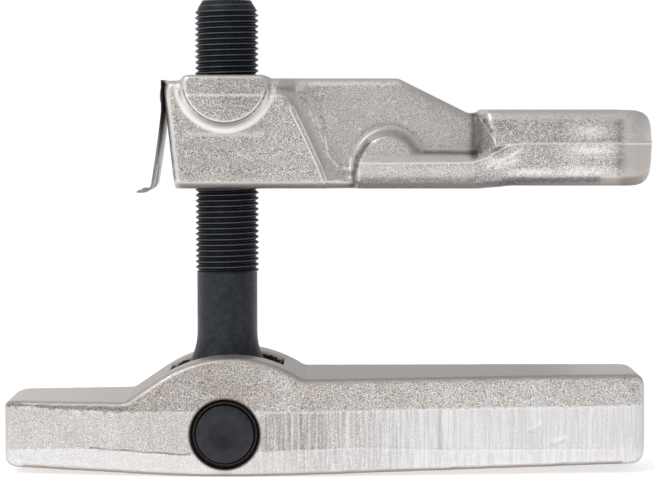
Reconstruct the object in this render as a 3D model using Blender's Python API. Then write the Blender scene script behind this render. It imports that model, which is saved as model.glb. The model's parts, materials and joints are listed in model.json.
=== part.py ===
"""A two-arm lever press for ball joints.

A forged lever arm lies along X and rests on its underside. An eye bolt swings on a pin in the
slot of its hump, and a forged fork arm rides on the thread of that bolt. A forked leaf spring
is riveted to the left end of the fork arm. X runs from the bolt to the fork's mouth, Y is the
depth with the front at -Y, and Z is up. Each piece is drawn about the pin's axis, or about the
foot of the fork arm's bore, and is then placed. All sizes are in metres.
"""

import math

import bmesh
import bpy
from mathutils import Vector

# Fits
RUNNING_GAP = 0.0003

# Bolt: a half inch pipe thread, rolled on a shank of its pitch diameter
THREAD_DIAMETER = 0.020955
THREAD_PITCH = 0.001814
THREAD_DEPTH = 0.001162
THREAD_FOOT = 0.0505
THREAD_RUNOUT = 0.0022
THREAD_COLUMNS = 20
BOLT_TOP = 0.1397
BOLT_CHAMFER = 0.0026
BOLT_CHAMFER_TALL = 0.0042
SHANK_DIAMETER = THREAD_DIAMETER - THREAD_DEPTH
SHANK_FOOT = 0.031
EYE_WALL = 0.0036
EYE_HALF = SHANK_DIAMETER / 2 + EYE_WALL
EYE_THICKNESS = SHANK_DIAMETER + 0.0008
FLARE_RADIUS = 0.020

# Pivot pin and its two wire rings, each with a narrow split
PIN_DIAMETER = 0.0187
PIN_CHAMFER = 0.0004
PIN_SHORT_OF_FACE = 0.0004
PIN_LIP = 0.0010
RING_WIRE = 0.0018
RING_SEAT = 0.00045
RING_SPLIT_DEG = 3.0
RING_SPLIT_AT_DEG = 235.0

# Lower lever arm, about the pin's axis
LEVER_LEFT = 0.0719
LEVER_RIGHT = 0.1362
LEVER_HALF_MIDDLE = 0.0245
LEVER_HALF_LEFT = 0.0175
LEVER_HALF_RIGHT = 0.0165
LEVER_WIDE_LEFT = 0.020
LEVER_WIDE_RIGHT = 0.026
LEVER_LEFT_TOP = 0.0102
LEVER_RIGHT_TOP = 0.0176
LEVER_RIGHT_TOP_END = 0.0187
LEVER_UNDER_MIDDLE = 0.0138
LEVER_UNDER_LEFT = 0.0115
LEVER_UNDER_RIGHT = 0.0106
LEVER_UNDER_FLAT = 0.0080
HUMP_RADIUS = 0.042
HUMP_CENTRE = 0.002
HUMP_TOP = 0.0246
HUMP_FLANK_DEG = 34.0
BAND_TOP_MIDDLE = 0.0070
BAND_TOP_END = 0.0089
BAND_FOOT_MIDDLE = 0.0062
BAND_FOOT_END = 0.0050
LEVER_DRAFT_DEG = 4.0
LEVER_EDGE = 0.0011
LEVER_CORNER = 0.0045
LEVER_LEFT_CORNER_DROP = 0.45
LEVER_RIGHT_CORNER_DROP = 0.90
FLANK_FOOT_LEAD = 0.0060
SWING_ROOM = 0.0050
SLOT_HALF_LENGTH = EYE_HALF + SWING_ROOM

# Upper fork arm at rest on the bolt: its underside stands this high above the pin's axis
ARM_REST = 0.0785

# Heights of the fork arm above its own underside
ARM_TOP = 0.0357
ARM_LEFT_DROP = 0.0008
ARM_LEFT_KNEE = 0.0265
BLOCK_PART_DROP = 0.0055
BLOCK_PART = ARM_TOP - BLOCK_PART_DROP
RAIL_PART = 0.0086
RAIL_LEDGE_RISE = 0.0025
RAIL_LEDGE = RAIL_PART + RAIL_LEDGE_RISE
FORK_UNDER = 0.0012
FORK_LOWER_HALF = 0.0137
FORK_PART = FORK_UNDER + FORK_LOWER_HALF
FORK_UPPER_HALF = 0.0106
FORK_TOP = FORK_PART + FORK_UPPER_HALF
NOTCH_DROP = 0.0011
TOP_SLOPE_FOOT = FORK_TOP - NOTCH_DROP

# Lengths of the fork arm from the bolt's axis, each reached from the one before
BLOCK_END_WALL = 0.0092
BLOCK_SIDE_WALL = 0.0065
ARM_LEFT = THREAD_DIAMETER / 2 + BLOCK_END_WALL
ARM_LEFT_LEAN = 0.0032
RIDGE_TOP_AT = 0.0198
RIDGE_RUN = 0.0122
RIDGE_FOOT_AT = RIDGE_TOP_AT + RIDGE_RUN
RIDGE_SPREAD = 0.0063
RAIL_LEAD = 0.0028
RAIL_FROM = RIDGE_FOOT_AT + RIDGE_SPREAD + RAIL_LEAD
RAIL_END_RUN = 0.0019
TOP_FLAT_RUN = 0.0149
TOP_FLAT_TO = RAIL_FROM + TOP_FLAT_RUN
TOP_SLOPE_RUN = 0.0227
TOP_SLOPE_TO = TOP_FLAT_TO + TOP_SLOPE_RUN
NOTCH_RUN = 0.0050
FORK_FROM = TOP_SLOPE_TO + NOTCH_RUN
FORK_SHOULDER = 0.0037
FORK_RAMP_RUN = 0.0078
FORK_RAMP_TO = FORK_FROM + FORK_RAMP_RUN
FORK_RUN = 0.0458
FORK_TO = FORK_RAMP_TO + FORK_RUN

# Half widths, edges and drafts of the fork arm
BLOCK_HALF = THREAD_DIAMETER / 2 + BLOCK_SIDE_WALL
WEB_HALF = 0.0120
WEB_HALF_TOP = 0.0108
WEB_FOOT_FILLET = 0.0011
RIDGE_PART_FOOT = 0.0026
RIDGE_BOW = 0.06
ARM_END_EDGE = 0.0016
ARM_END_EDGE_RUN = 0.0020
RAIL_STAND = 0.0060
RAIL_HALF = WEB_HALF + RAIL_STAND
RAIL_SIDE = 0.0015
FORK_HALF = 0.0250
FORK_LEAN = 0.0016
FORK_TIP_PLAN = 0.0080
FORK_TIP_SIDE = 0.0062
FORK_EDGE = 0.0030
ARM_EDGE = 0.0022
ARM_DRAFT_DEG = 3.0
MOUTH_WIDTH = 0.0230
MOUTH_DEPTH = 0.0360

# Boss round the bolt, one on each side of the fork arm, cut off above the arm's top
BOSS_WALL = 0.0030
BOSS_RADIUS = THREAD_DIAMETER / 2 + BOSS_WALL
BOSS_FILLET = 0.0033
BOSS_FILLET_TOP = 0.20
BOSS_FILLET_FADE = 1.6
BOSS_PROUD = 0.0026
BOSS_CENTRE_DROP = 0.0009
BOSS_CENTRE = ARM_TOP - BOSS_CENTRE_DROP
BOSS_RISE = 0.0011
BOSS_TOP = ARM_TOP + BOSS_RISE
BOSS_LEAN = 0.0013
BOSS_CORNER = 0.0012

# Half-round pad above the rail
PAD_RADIUS = 0.0104
PAD_RIM = 0.0020
PAD_LEAD = 0.0010
PAD_CENTRE = RAIL_FROM + PAD_RADIUS + PAD_LEAD
PAD_HALF = RAIL_HALF - RAIL_SIDE
PAD_HEIGHT = RAIL_PART
PAD_FOOT = RAIL_PART / 2

# Leaf spring on the left end of the fork arm: a flat part, a leaning part and a hooked foot
SPRING_WIDTH = 0.0320
SPRING_THICKNESS = 0.0006
SPRING_TOP_DROP = 0.0006
SPRING_TOP = ARM_TOP - SPRING_TOP_DROP
SPRING_FLAT = 0.0101
SPRING_LEAN = 0.0229
SPRING_SPREAD = 0.0032
SPRING_HOOK = 0.0030
SPRING_HOOK_RUN = 0.0020
SLIT_WIDTH = 0.0100
SLIT_LENGTH = 0.0052

# Drive rivet in the middle of the spring's flat part
RIVET_HEAD = 0.0070
RIVET_HEAD_HIGH = 0.0011
RIVET_HEAD_FLAT = 0.0052
RIVET_SHANK = 0.0034
RIVET_DEEP = 0.0070
RIVET_HEIGHT = SPRING_TOP - SPRING_FLAT / 2

# The part's own frame has its origin under the middle of the whole object
RIGHT_END = max(FORK_TO, LEVER_RIGHT)
PIN_PLACE = Vector(((LEVER_LEFT - RIGHT_END) / 2, 0.0, LEVER_UNDER_MIDDLE))
ARM_PLACE = PIN_PLACE + Vector((0.0, 0.0, ARM_REST))
ARC_STEPS = 12
ROUND_STEPS = 48


def clear_scene():
    for old in list(bpy.data.objects):
        bpy.data.objects.remove(old)


def make_material(name, colour, roughness, metallic):
    material = bpy.data.materials.new(name)
    material.use_nodes = True
    shader = material.node_tree.nodes["Principled BSDF"]
    shader.inputs["Base Color"].default_value = (*colour, 1.0)
    shader.inputs["Roughness"].default_value = roughness
    shader.inputs["Metallic"].default_value = metallic
    return material


def add_object(name, mesh_maker, material=None, smooth_deg=30.0):
    """Make an object from a bmesh; without a material it is a cutter."""
    mesh_maker.normal_update()
    mesh = bpy.data.meshes.new(name)
    mesh_maker.to_mesh(mesh)
    mesh_maker.free()
    item = bpy.data.objects.new(name, mesh)
    bpy.context.scene.collection.objects.link(item)
    if material:
        mesh.materials.append(material)
        mesh.shade_smooth()
        mesh.set_sharp_from_angle(angle=math.radians(smooth_deg))
    else:
        item.hide_render = True
        item.display_type = "WIRE"
    return item


def boolean(item, other, operation):
    change = item.modifiers.new(other.name, "BOOLEAN")
    change.operation = operation
    change.solver = "EXACT"
    change.object = other


def loft(rings):
    """Skin closed rings of equal length, with a flat cap at each end, as a bmesh."""
    shape = bmesh.new()
    rows = [[shape.verts.new(point) for point in ring] for ring in rings]
    for near, far in zip(rows, rows[1:]):
        for i in range(len(near)):
            j = (i + 1) % len(near)
            shape.faces.new((near[i], near[j], far[j], far[i]))
    shape.faces.new(rows[0])
    shape.faces.new(rows[-1])
    bmesh.ops.recalc_face_normals(shape, faces=shape.faces)
    return shape


def both_sides(x, side):
    """A ring across the arm at x from one side's points (half width, height), top first.

    A point may carry its own x as a third value."""
    near = [(p[2] if len(p) > 2 else x, -p[0], p[1]) for p in side]
    far = [(p[2] if len(p) > 2 else x, p[0], p[1]) for p in reversed(side)]
    return near + far


def prism(outline, half, centre_y=0.0):
    """An outline of (x, z) points drawn out along Y, as a bmesh."""
    rings = [[(x, centre_y + y, z) for x, z in outline] for y in (-half, half)]
    return loft(rings)


def upright_prism(outline, low, high):
    """An outline of (x, y) points drawn out along Z, as a bmesh."""
    return loft([[(x, y, z) for x, y in outline] for z in (low, high)])


def turned(profile, along="Z", centre=(0.0, 0.0, 0.0), steps=ROUND_STEPS):
    """A closed turned shape from (radius, place) points that start and end off the axis."""
    rings = []
    for radius, place in profile:
        ring = []
        for i in range(steps):
            angle = 2 * math.pi * i / steps
            across = radius * math.cos(angle)
            other = radius * math.sin(angle)
            spot = {"Z": (across, other, place), "Y": (across, place, other),
                    "X": (place, across, other)}[along]
            ring.append(Vector(spot) + Vector(centre))
        rings.append(ring)
    return loft(rings)


def arc(centre, radius, start_deg, end_deg, steps=ARC_STEPS):
    points = []
    for i in range(steps + 1):
        angle = math.radians(start_deg + (end_deg - start_deg) * i / steps)
        points.append((centre[0] + radius * math.cos(angle), centre[1] + radius * math.sin(angle)))
    return points


def mix(low, high, share):
    return low + (high - low) * max(0.0, min(1.0, share))


# Lower lever arm

def lever_half(x):
    if x < 0:
        share = (-x - LEVER_WIDE_LEFT) / (LEVER_LEFT - LEVER_WIDE_LEFT)
        return mix(LEVER_HALF_MIDDLE, LEVER_HALF_LEFT, share)
    share = (x - LEVER_WIDE_RIGHT) / (LEVER_RIGHT - LEVER_WIDE_RIGHT)
    return mix(LEVER_HALF_MIDDLE, LEVER_HALF_RIGHT, share)


def lever_top(x):
    """Height of the top: a low flat on the left, a straight flank, the hump's arc, a high flat."""
    flank = math.radians(HUMP_FLANK_DEG)
    tangent_x = HUMP_CENTRE - HUMP_RADIUS * math.sin(flank)
    centre_z = HUMP_TOP - HUMP_RADIUS
    tangent_z = centre_z + HUMP_RADIUS * math.cos(flank)
    share = (x - LEVER_WIDE_RIGHT) / (LEVER_RIGHT - LEVER_WIDE_RIGHT)
    flat = mix(LEVER_RIGHT_TOP, LEVER_RIGHT_TOP_END, share) if x > HUMP_CENTRE else LEVER_LEFT_TOP
    if x < tangent_x:
        return max(flat, tangent_z - (tangent_x - x) * math.tan(flank))
    reach = HUMP_RADIUS ** 2 - (x - HUMP_CENTRE) ** 2
    hump = centre_z + math.sqrt(reach) if reach > 0 else flat
    return max(flat, hump)


def bow(x, middle, left_end, right_end, flat=LEVER_UNDER_FLAT):
    """A value that is level near the pin and runs straight to each end."""
    if x < 0:
        return mix(middle, left_end, (-x - flat) / (LEVER_LEFT - flat))
    return mix(middle, right_end, (x - flat) / (LEVER_RIGHT - flat))


def lever_side(x, shrink=0.0, drop=0.0):
    """One side of the lever's section at x: top, trimmed band and underside, with soft edges."""
    draft = math.tan(math.radians(LEVER_DRAFT_DEG))
    top = lever_top(x) - drop
    under = -bow(x, LEVER_UNDER_MIDDLE, LEVER_UNDER_LEFT, LEVER_UNDER_RIGHT) + drop
    band_top = min(bow(x, BAND_TOP_MIDDLE, BAND_TOP_END, BAND_TOP_END), top - LEVER_EDGE)
    band_foot = -bow(x, BAND_FOOT_MIDDLE, BAND_FOOT_END, BAND_FOOT_END)
    half = lever_half(x) - shrink
    top_half = half - (top - band_top) * draft
    under_half = half - (band_foot - under) * draft
    return [(top_half - LEVER_EDGE, top), (top_half, top - LEVER_EDGE * 0.9), (half, band_top),
            (half, band_foot), (under_half, under + LEVER_EDGE), (under_half - LEVER_EDGE, under)]


def lever_stations():
    """Places along X where the lever's section is drawn, with how far each is drawn in."""
    flank = math.radians(HUMP_FLANK_DEG)
    tangent = HUMP_CENTRE - HUMP_RADIUS * math.sin(flank)
    tangent_z = HUMP_TOP - HUMP_RADIUS * (1 - math.cos(flank))
    flank_foot = tangent - (tangent_z - LEVER_LEFT_TOP) / math.tan(flank)
    rise = LEVER_RIGHT_TOP - (HUMP_TOP - HUMP_RADIUS)
    hump_end = HUMP_CENTRE + math.sqrt(HUMP_RADIUS ** 2 - rise ** 2)
    stations = []
    corner_steps = 4
    for i in range(corner_steps):
        turn = math.pi / 2 * i / corner_steps
        inset = LEVER_CORNER * (1 - math.sin(turn))
        stations.append((-LEVER_LEFT + LEVER_CORNER * (1 - math.cos(turn)), inset,
                         inset * LEVER_LEFT_CORNER_DROP))
    stations.append((-LEVER_LEFT + LEVER_CORNER, 0.0, 0.0))
    stations.append((flank_foot - FLANK_FOOT_LEAD, 0.0, 0.0))
    stations.append((flank_foot, 0.0, 0.0))
    hump_steps = 16
    for i in range(hump_steps + 1):
        stations.append((mix(tangent, hump_end, i / hump_steps), 0.0, 0.0))
    stations.append((LEVER_RIGHT - LEVER_CORNER, 0.0, 0.0))
    for i in reversed(range(corner_steps)):
        turn = math.pi / 2 * i / corner_steps
        inset = LEVER_CORNER * (1 - math.sin(turn))
        stations.append((LEVER_RIGHT - LEVER_CORNER * (1 - math.cos(turn)), inset,
                         inset * LEVER_RIGHT_CORNER_DROP))
    return stations


def make_lower_lever_arm(material):
    rings = [both_sides(x, lever_side(x, inset, drop)) for x, inset, drop in lever_stations()]
    lever = add_object("lower_lever_arm", loft(rings), material)
    slot_half = EYE_THICKNESS / 2 + RUNNING_GAP
    tall = HUMP_TOP * 2
    corners = [(-SLOT_HALF_LENGTH, -tall), (SLOT_HALF_LENGTH, -tall),
               (SLOT_HALF_LENGTH, tall), (-SLOT_HALF_LENGTH, tall)]
    slot = add_object("slot_cutter", prism(corners, slot_half))
    bore_radius = PIN_DIAMETER / 2 + RUNNING_GAP
    reach = LEVER_HALF_MIDDLE * 2
    bore = add_object("pin_bore_cutter",
                      turned([(bore_radius, reach), (bore_radius, -reach)], "Y"))
    boolean(lever, slot, "DIFFERENCE")
    boolean(lever, bore, "DIFFERENCE")
    seat = ring_seat_radius()
    for name, side in (("front", -1), ("rear", 1)):
        floor = side * (ring_place() - RING_WIRE / 2 - RUNNING_GAP)
        ends = sorted((floor, side * reach), reverse=True)
        cutter = add_object(f"{name}_seat_cutter", turned([(seat, end) for end in ends], "Y"))
        cutter.location = PIN_PLACE
        boolean(lever, cutter, "DIFFERENCE")
    for item in (lever, slot, bore):
        item.location = PIN_PLACE


# Pivot pin and rings

def pin_half_length():
    return LEVER_HALF_MIDDLE - PIN_SHORT_OF_FACE


def ring_place():
    """Distance of a ring's middle from the object's middle plane."""
    return pin_half_length() - PIN_LIP - RUNNING_GAP - RING_WIRE / 2


def ring_radius():
    """Radius of the wire's centre line, seated in the pin's groove."""
    return PIN_DIAMETER / 2 - RING_SEAT + RUNNING_GAP + RING_WIRE / 2


def ring_seat_radius():
    return ring_radius() + RING_WIRE / 2 + RUNNING_GAP


def make_pivot_pin(material):
    radius = PIN_DIAMETER / 2
    groove = radius - RING_SEAT
    end = pin_half_length()
    groove_out = end - PIN_LIP
    groove_in = groove_out - RING_WIRE - 2 * RUNNING_GAP
    half = [(radius - PIN_CHAMFER, end), (radius, end - PIN_CHAMFER), (radius, groove_out),
            (groove, groove_out), (groove, groove_in), (radius, groove_in)]
    profile = half + [(r, -place) for r, place in reversed(half)]
    pin = add_object("pivot_pin", turned(profile, "Y"), material)
    pin.location = PIN_PLACE


def make_snap_ring(name, side, material):
    """A round wire bent into a ring in the pin's groove, its two ends just apart."""
    wire_steps = 10
    rings = []
    for i in range(ROUND_STEPS + 1):
        open_turn = 360.0 - RING_SPLIT_DEG
        turn = math.radians(RING_SPLIT_AT_DEG + RING_SPLIT_DEG / 2 + open_turn * i / ROUND_STEPS)
        row = []
        for j in range(wire_steps):
            lean = 2 * math.pi * j / wire_steps
            reach = ring_radius() + RING_WIRE / 2 * math.cos(lean)
            depth = side * ring_place() + RING_WIRE / 2 * math.sin(lean)
            row.append((reach * math.cos(turn), depth, reach * math.sin(turn)))
        rings.append(row)
    ring = add_object(name, loft(rings), material)
    ring.location = PIN_PLACE


# Eye bolt

def thread_spot(row, column):
    """A point of the right-hand thread: even rows run along its root, odd rows along its crest.

    A row climbs one pitch in a turn, so it ends where the row two above it began."""
    share = column / THREAD_COLUMNS
    height = THREAD_FOOT + THREAD_PITCH * (row / 2 + share - 1)
    outer = THREAD_DIAMETER / 2
    core = outer - THREAD_DEPTH
    rise = mix(0.0, THREAD_DEPTH, (height - THREAD_FOOT) / THREAD_RUNOUT) if row % 2 else 0.0
    reach = outer - BOLT_CHAMFER * (1 - (BOLT_TOP - height) / BOLT_CHAMFER_TALL)
    radius = min(core + rise, reach)
    turn = 2 * math.pi * share
    return (radius * math.cos(turn), radius * math.sin(turn), height)


def thread_ring(shape, radius, height):
    turns = [2 * math.pi * column / THREAD_COLUMNS for column in range(THREAD_COLUMNS)]
    return [shape.verts.new((radius * math.cos(turn), radius * math.sin(turn), height))
            for turn in turns]


def threaded_rod():
    """A closed rod with a helical ridge, from just inside the shank to the bolt's top."""
    shape = bmesh.new()
    last = THREAD_COLUMNS - 1
    rows = int((BOLT_TOP - THREAD_FOOT) / THREAD_PITCH * 2 - 0.5)
    first = [shape.verts.new(thread_spot(row, 0)) for row in range(rows + 3)]
    columns = [first]
    for column in range(1, THREAD_COLUMNS):
        columns.append([shape.verts.new(thread_spot(row, column)) for row in range(rows + 1)])
    columns.append(first[2:])
    for near, far in zip(columns, columns[1:]):
        for row in range(rows):
            shape.faces.new((near[row], far[row], far[row + 1], near[row + 1]))
    core = THREAD_DIAMETER / 2 - THREAD_DEPTH
    low = thread_ring(shape, core, THREAD_FOOT - THREAD_PITCH * 1.5)
    top = thread_ring(shape, THREAD_DIAMETER / 2 - BOLT_CHAMFER, BOLT_TOP)
    for column in range(last):
        shape.faces.new((low[column], low[column + 1], columns[column + 1][0], columns[column][0]))
    shape.faces.new((low[last], low[0], first[0], first[1], first[2], columns[last][0]))
    shape.faces.new((first[rows], columns[1][rows], top[1], top[0], first[rows + 2], first[rows + 1]))
    for column in range(1, last):
        shape.faces.new((columns[column][rows], columns[column + 1][rows], top[column + 1], top[column]))
    shape.faces.new((columns[last][rows], first[rows + 2], top[0], top[last]))
    shape.faces.new(low)
    shape.faces.new(top)
    bmesh.ops.recalc_face_normals(shape, faces=shape.faces)
    return shape


def make_eye_bolt(material):
    """A threaded rod on a turned shank and flare, over a forged eye with two flats."""
    shank = SHANK_DIAMETER / 2
    rod_seat = THREAD_DIAMETER / 2 - THREAD_DEPTH * 1.4
    flare_turn = math.degrees(math.acos(1 - (EYE_HALF - shank) / FLARE_RADIUS))
    flare = arc((shank + FLARE_RADIUS, SHANK_FOOT), FLARE_RADIUS, 180, 180 + flare_turn, 6)
    eye_top = flare[-1][1]
    profile = [(rod_seat, THREAD_FOOT + THREAD_DEPTH), (shank, THREAD_FOOT)]
    profile += flare + [(EYE_HALF, eye_top / 2)]
    bolt = add_object("eye_bolt", turned(profile), material)
    outline = [(-EYE_HALF, eye_top), (EYE_HALF, eye_top)] + arc((0, 0), EYE_HALF, 360, 180, 20)
    foot = add_object("eye_foot", prism(outline, EYE_THICKNESS / 2))
    boolean(bolt, foot, "UNION")
    rod = add_object("threaded_rod", threaded_rod())
    boolean(bolt, rod, "UNION")
    tools = [foot, rod]
    beyond = EYE_HALF * 2
    for name, side in (("front", -1), ("rear", 1)):
        middle = side * (EYE_THICKNESS / 2 + beyond / 2)
        corners = [(-beyond, -beyond), (beyond, -beyond), (beyond, SHANK_FOOT), (-beyond, SHANK_FOOT)]
        flat = add_object(f"{name}_flat_cutter", prism(corners, beyond / 2, middle))
        boolean(bolt, flat, "DIFFERENCE")
        tools.append(flat)
    bore_radius = PIN_DIAMETER / 2 + RUNNING_GAP
    bore = add_object("eye_bore_cutter",
                      turned([(bore_radius, EYE_THICKNESS), (bore_radius, -EYE_THICKNESS)], "Y"))
    boolean(bolt, bore, "DIFFERENCE")
    for item in [bolt, bore] + tools:
        item.location = PIN_PLACE


# Upper fork arm

def arm_side(top, top_half, edge, foot, foot_half, ledge, ledge_half, part, part_half,
             under, under_half):
    """One side of the fork arm's section: top edge, web foot, ledge, parting line, underside."""
    return [(top_half - edge, top), (top_half - edge * 0.3, top - edge * 0.3),
            (top_half, top - edge), (foot_half, foot), (ledge_half, ledge), (part_half, part),
            (under_half, under + ARM_EDGE), (under_half - ARM_EDGE, under)]


def block_side(top, part=BLOCK_PART, shrink=0.0):
    """A side of the thick block round the bolt, widest at the parting line."""
    draft = math.tan(math.radians(ARM_DRAFT_DEG))
    half = BLOCK_HALF - shrink
    return arm_side(top, half - (top - part) * draft, ARM_EDGE,
                    mix(part, top, 0.30), half - (top - part) * draft * 0.30,
                    mix(part, top, 0.15), half - (top - part) * draft * 0.15,
                    part, half, 0.0, half - part * draft)


def ridge_side(share):
    """A side where the ridge runs down, from 0 at its top to 1 where it meets the underside.

    Past 1 only the foot of its slope is left, until at 2 the side is the plain web."""
    draft = math.tan(math.radians(ARM_DRAFT_DEG))
    bulge = RIDGE_BOW * math.sin(math.pi * min(1.0, share))
    part = mix(BLOCK_PART, RIDGE_PART_FOOT, share - bulge)
    ridge_half = BLOCK_HALF - (BLOCK_PART - part) * draft
    steepness = (BLOCK_PART - RIDGE_PART_FOOT) / RIDGE_RUN
    slope = mix(RIDGE_SPREAD * steepness, RIDGE_PART_FOOT, share - 1)
    half = mix(ridge_half, WEB_HALF + WEB_FOOT_FILLET, share - 1)
    web = min(part + slope, ARM_TOP - ARM_EDGE * 1.5)
    return arm_side(ARM_TOP, WEB_HALF_TOP, ARM_EDGE, web, WEB_HALF,
                    mix(part, web, 0.45), mix(half, WEB_HALF, 0.7), part, half,
                    0.0, half - part * draft)


def rail_side(top):
    """A side with the web above and the rail standing out below it."""
    return arm_side(top, WEB_HALF_TOP, ARM_EDGE, RAIL_LEDGE + WEB_FOOT_FILLET, WEB_HALF,
                    RAIL_LEDGE, RAIL_HALF - RAIL_SIDE, RAIL_PART, RAIL_HALF,
                    0.0, RAIL_HALF - ARM_EDGE)


def fork_side(part, shrink=0.0, drop=0.0):
    """A side of the fork, with a wide soft edge on top and below."""
    half = FORK_HALF - shrink
    top = FORK_TOP - drop
    under = FORK_UNDER + drop
    edge_foot = top - FORK_EDGE
    return [(half - FORK_LEAN - FORK_EDGE, top),
            (half - FORK_LEAN - FORK_EDGE * 0.3, top - FORK_EDGE * 0.3),
            (half - FORK_LEAN, edge_foot), (half - FORK_LEAN * 0.5, mix(part, edge_foot, 0.6)),
            (half - FORK_LEAN * 0.2, mix(part, edge_foot, 0.2)), (half, part),
            (half - FORK_LEAN, under + FORK_EDGE), (half - FORK_LEAN - FORK_EDGE, under)]


def shoulder_side():
    """A side at the fork's shoulder: its upper face starts early, and its foot is still the rail's."""
    part = mix(RAIL_PART, FORK_PART, 0.5)
    upper = fork_side(part)[:5]
    starts = (0.0, 0.0, 0.1, 0.5, 0.9)
    side = [(half, height, FORK_FROM + FORK_SHOULDER * start)
            for (half, height), start in zip(upper, starts)]
    middle = FORK_FROM + FORK_SHOULDER
    half = mix(RAIL_HALF, FORK_HALF, 0.55)
    side.append((half, part, middle))
    side.append((half - ARM_EDGE, FORK_UNDER / 2 + ARM_EDGE, middle))
    side.append((half - ARM_EDGE * 2, FORK_UNDER / 2, middle))
    return side


def arm_rings():
    rings = []
    left_top = ARM_TOP - ARM_LEFT_DROP
    slope = ARM_LEFT_LEAN / ARM_LEFT_KNEE
    for inset, reach in ((ARM_END_EDGE, 0.0), (0.0, ARM_END_EDGE_RUN)):
        leaning = []
        for half, height in block_side(left_top, shrink=inset):
            back = max(0.0, ARM_LEFT_KNEE - height) * slope
            leaning.append((half, height, -ARM_LEFT + back + reach))
        rings.append(both_sides(0.0, leaning))
    rings.append(both_sides(0.0, block_side(left_top)))
    rings.append(both_sides(RIDGE_TOP_AT - ARM_EDGE, block_side(ARM_TOP)))
    ridge_steps = 6
    for i in range(1, ridge_steps + 1):
        share = i / ridge_steps
        rings.append(both_sides(mix(RIDGE_TOP_AT, RIDGE_FOOT_AT, share), ridge_side(share)))
    for share in (0.35, 0.7, 1.0):
        rings.append(both_sides(RIDGE_FOOT_AT + RIDGE_SPREAD * share, ridge_side(1 + share)))
    rings.append(both_sides(RAIL_FROM, ridge_side(2)))
    rings.append(both_sides(RAIL_FROM + RAIL_END_RUN, rail_side(ARM_TOP)))
    rings.append(both_sides(TOP_FLAT_TO, rail_side(ARM_TOP)))
    rings.append(both_sides(TOP_SLOPE_TO, rail_side(TOP_SLOPE_FOOT)))
    rings.append(both_sides(mix(TOP_SLOPE_TO, FORK_FROM, 0.6), rail_side(TOP_SLOPE_FOOT)))
    rings.append(both_sides(FORK_FROM, shoulder_side()))
    rings.append(both_sides(FORK_RAMP_TO, fork_side(FORK_PART)))
    rings.append(both_sides(FORK_TO - FORK_TIP_PLAN, fork_side(FORK_PART)))
    tip_steps = 5
    for i in range(1, tip_steps + 1):
        turn = math.pi / 2 * i / tip_steps
        inset = FORK_TIP_PLAN * (1 - math.cos(turn))
        drop = FORK_TIP_SIDE * (1 - math.cos(turn)) ** 1.3
        place = FORK_TO - FORK_TIP_PLAN * (1 - math.sin(turn))
        rings.append(both_sides(place, fork_side(FORK_PART, inset, drop)))
    return rings


def make_boss(name, side):
    """The half-round boss on one side; the fillet at its foot fades out towards the arm's top."""
    turns = arc((0, 0), 1.0, 180, 360, 24)
    inside = BLOCK_HALF - BLOCK_SIDE_WALL / 2
    levels = ((inside, BOSS_FILLET), (BLOCK_HALF, BOSS_FILLET),
              (BLOCK_HALF + BOSS_PROUD * 0.2, BOSS_FILLET * 0.45),
              (BLOCK_HALF + BOSS_PROUD * 0.55, BOSS_FILLET * 0.12),
              (BLOCK_HALF + BOSS_PROUD, 0.0))
    rings = []
    for half, fillet in levels:
        full_lean = 0.0 if half == inside else BOSS_LEAN
        ring = []
        for across, down in turns:
            radius = BOSS_RADIUS + fillet * mix(BOSS_FILLET_TOP, 1.0, -down * BOSS_FILLET_FADE)
            height = BOSS_CENTRE + radius * down
            lean = max(0.0, height - BLOCK_PART) / (BOSS_TOP - BLOCK_PART) * full_lean
            ring.append((radius * across, side * (half - lean), height))
        radius = BOSS_RADIUS + fillet * BOSS_FILLET_TOP
        reach = radius - BOSS_CORNER
        for across in (radius, reach, -reach, -radius):
            height = BOSS_TOP if abs(across) == reach else BOSS_TOP - BOSS_CORNER * 0.75
            ring.append((across, side * (half - full_lean), height))
        rings.append(ring)
    return add_object(name, loft(rings))


def make_pad(name, side):
    """The half-round pad on one side, with a sloping rim, rising from the rail."""
    rings = []
    for half, radius in ((WEB_HALF / 2, PAD_RADIUS), (WEB_HALF, PAD_RADIUS),
                         (PAD_HALF, PAD_RADIUS - PAD_RIM)):
        outline = arc((PAD_CENTRE, PAD_HEIGHT), radius, 0, 180, 16)
        outline += [(PAD_CENTRE - radius, PAD_FOOT), (PAD_CENTRE + radius, PAD_FOOT)]
        rings.append([(x, side * half, z) for x, z in outline])
    return add_object(name, loft(rings))


def mouth_outline():
    half = MOUTH_WIDTH / 2
    back = FORK_TO - MOUTH_DEPTH + half
    beyond = FORK_TO + MOUTH_WIDTH
    return [(beyond, -half), (beyond, half)] + arc((back, 0), half, 90, 270, 16)


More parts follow.
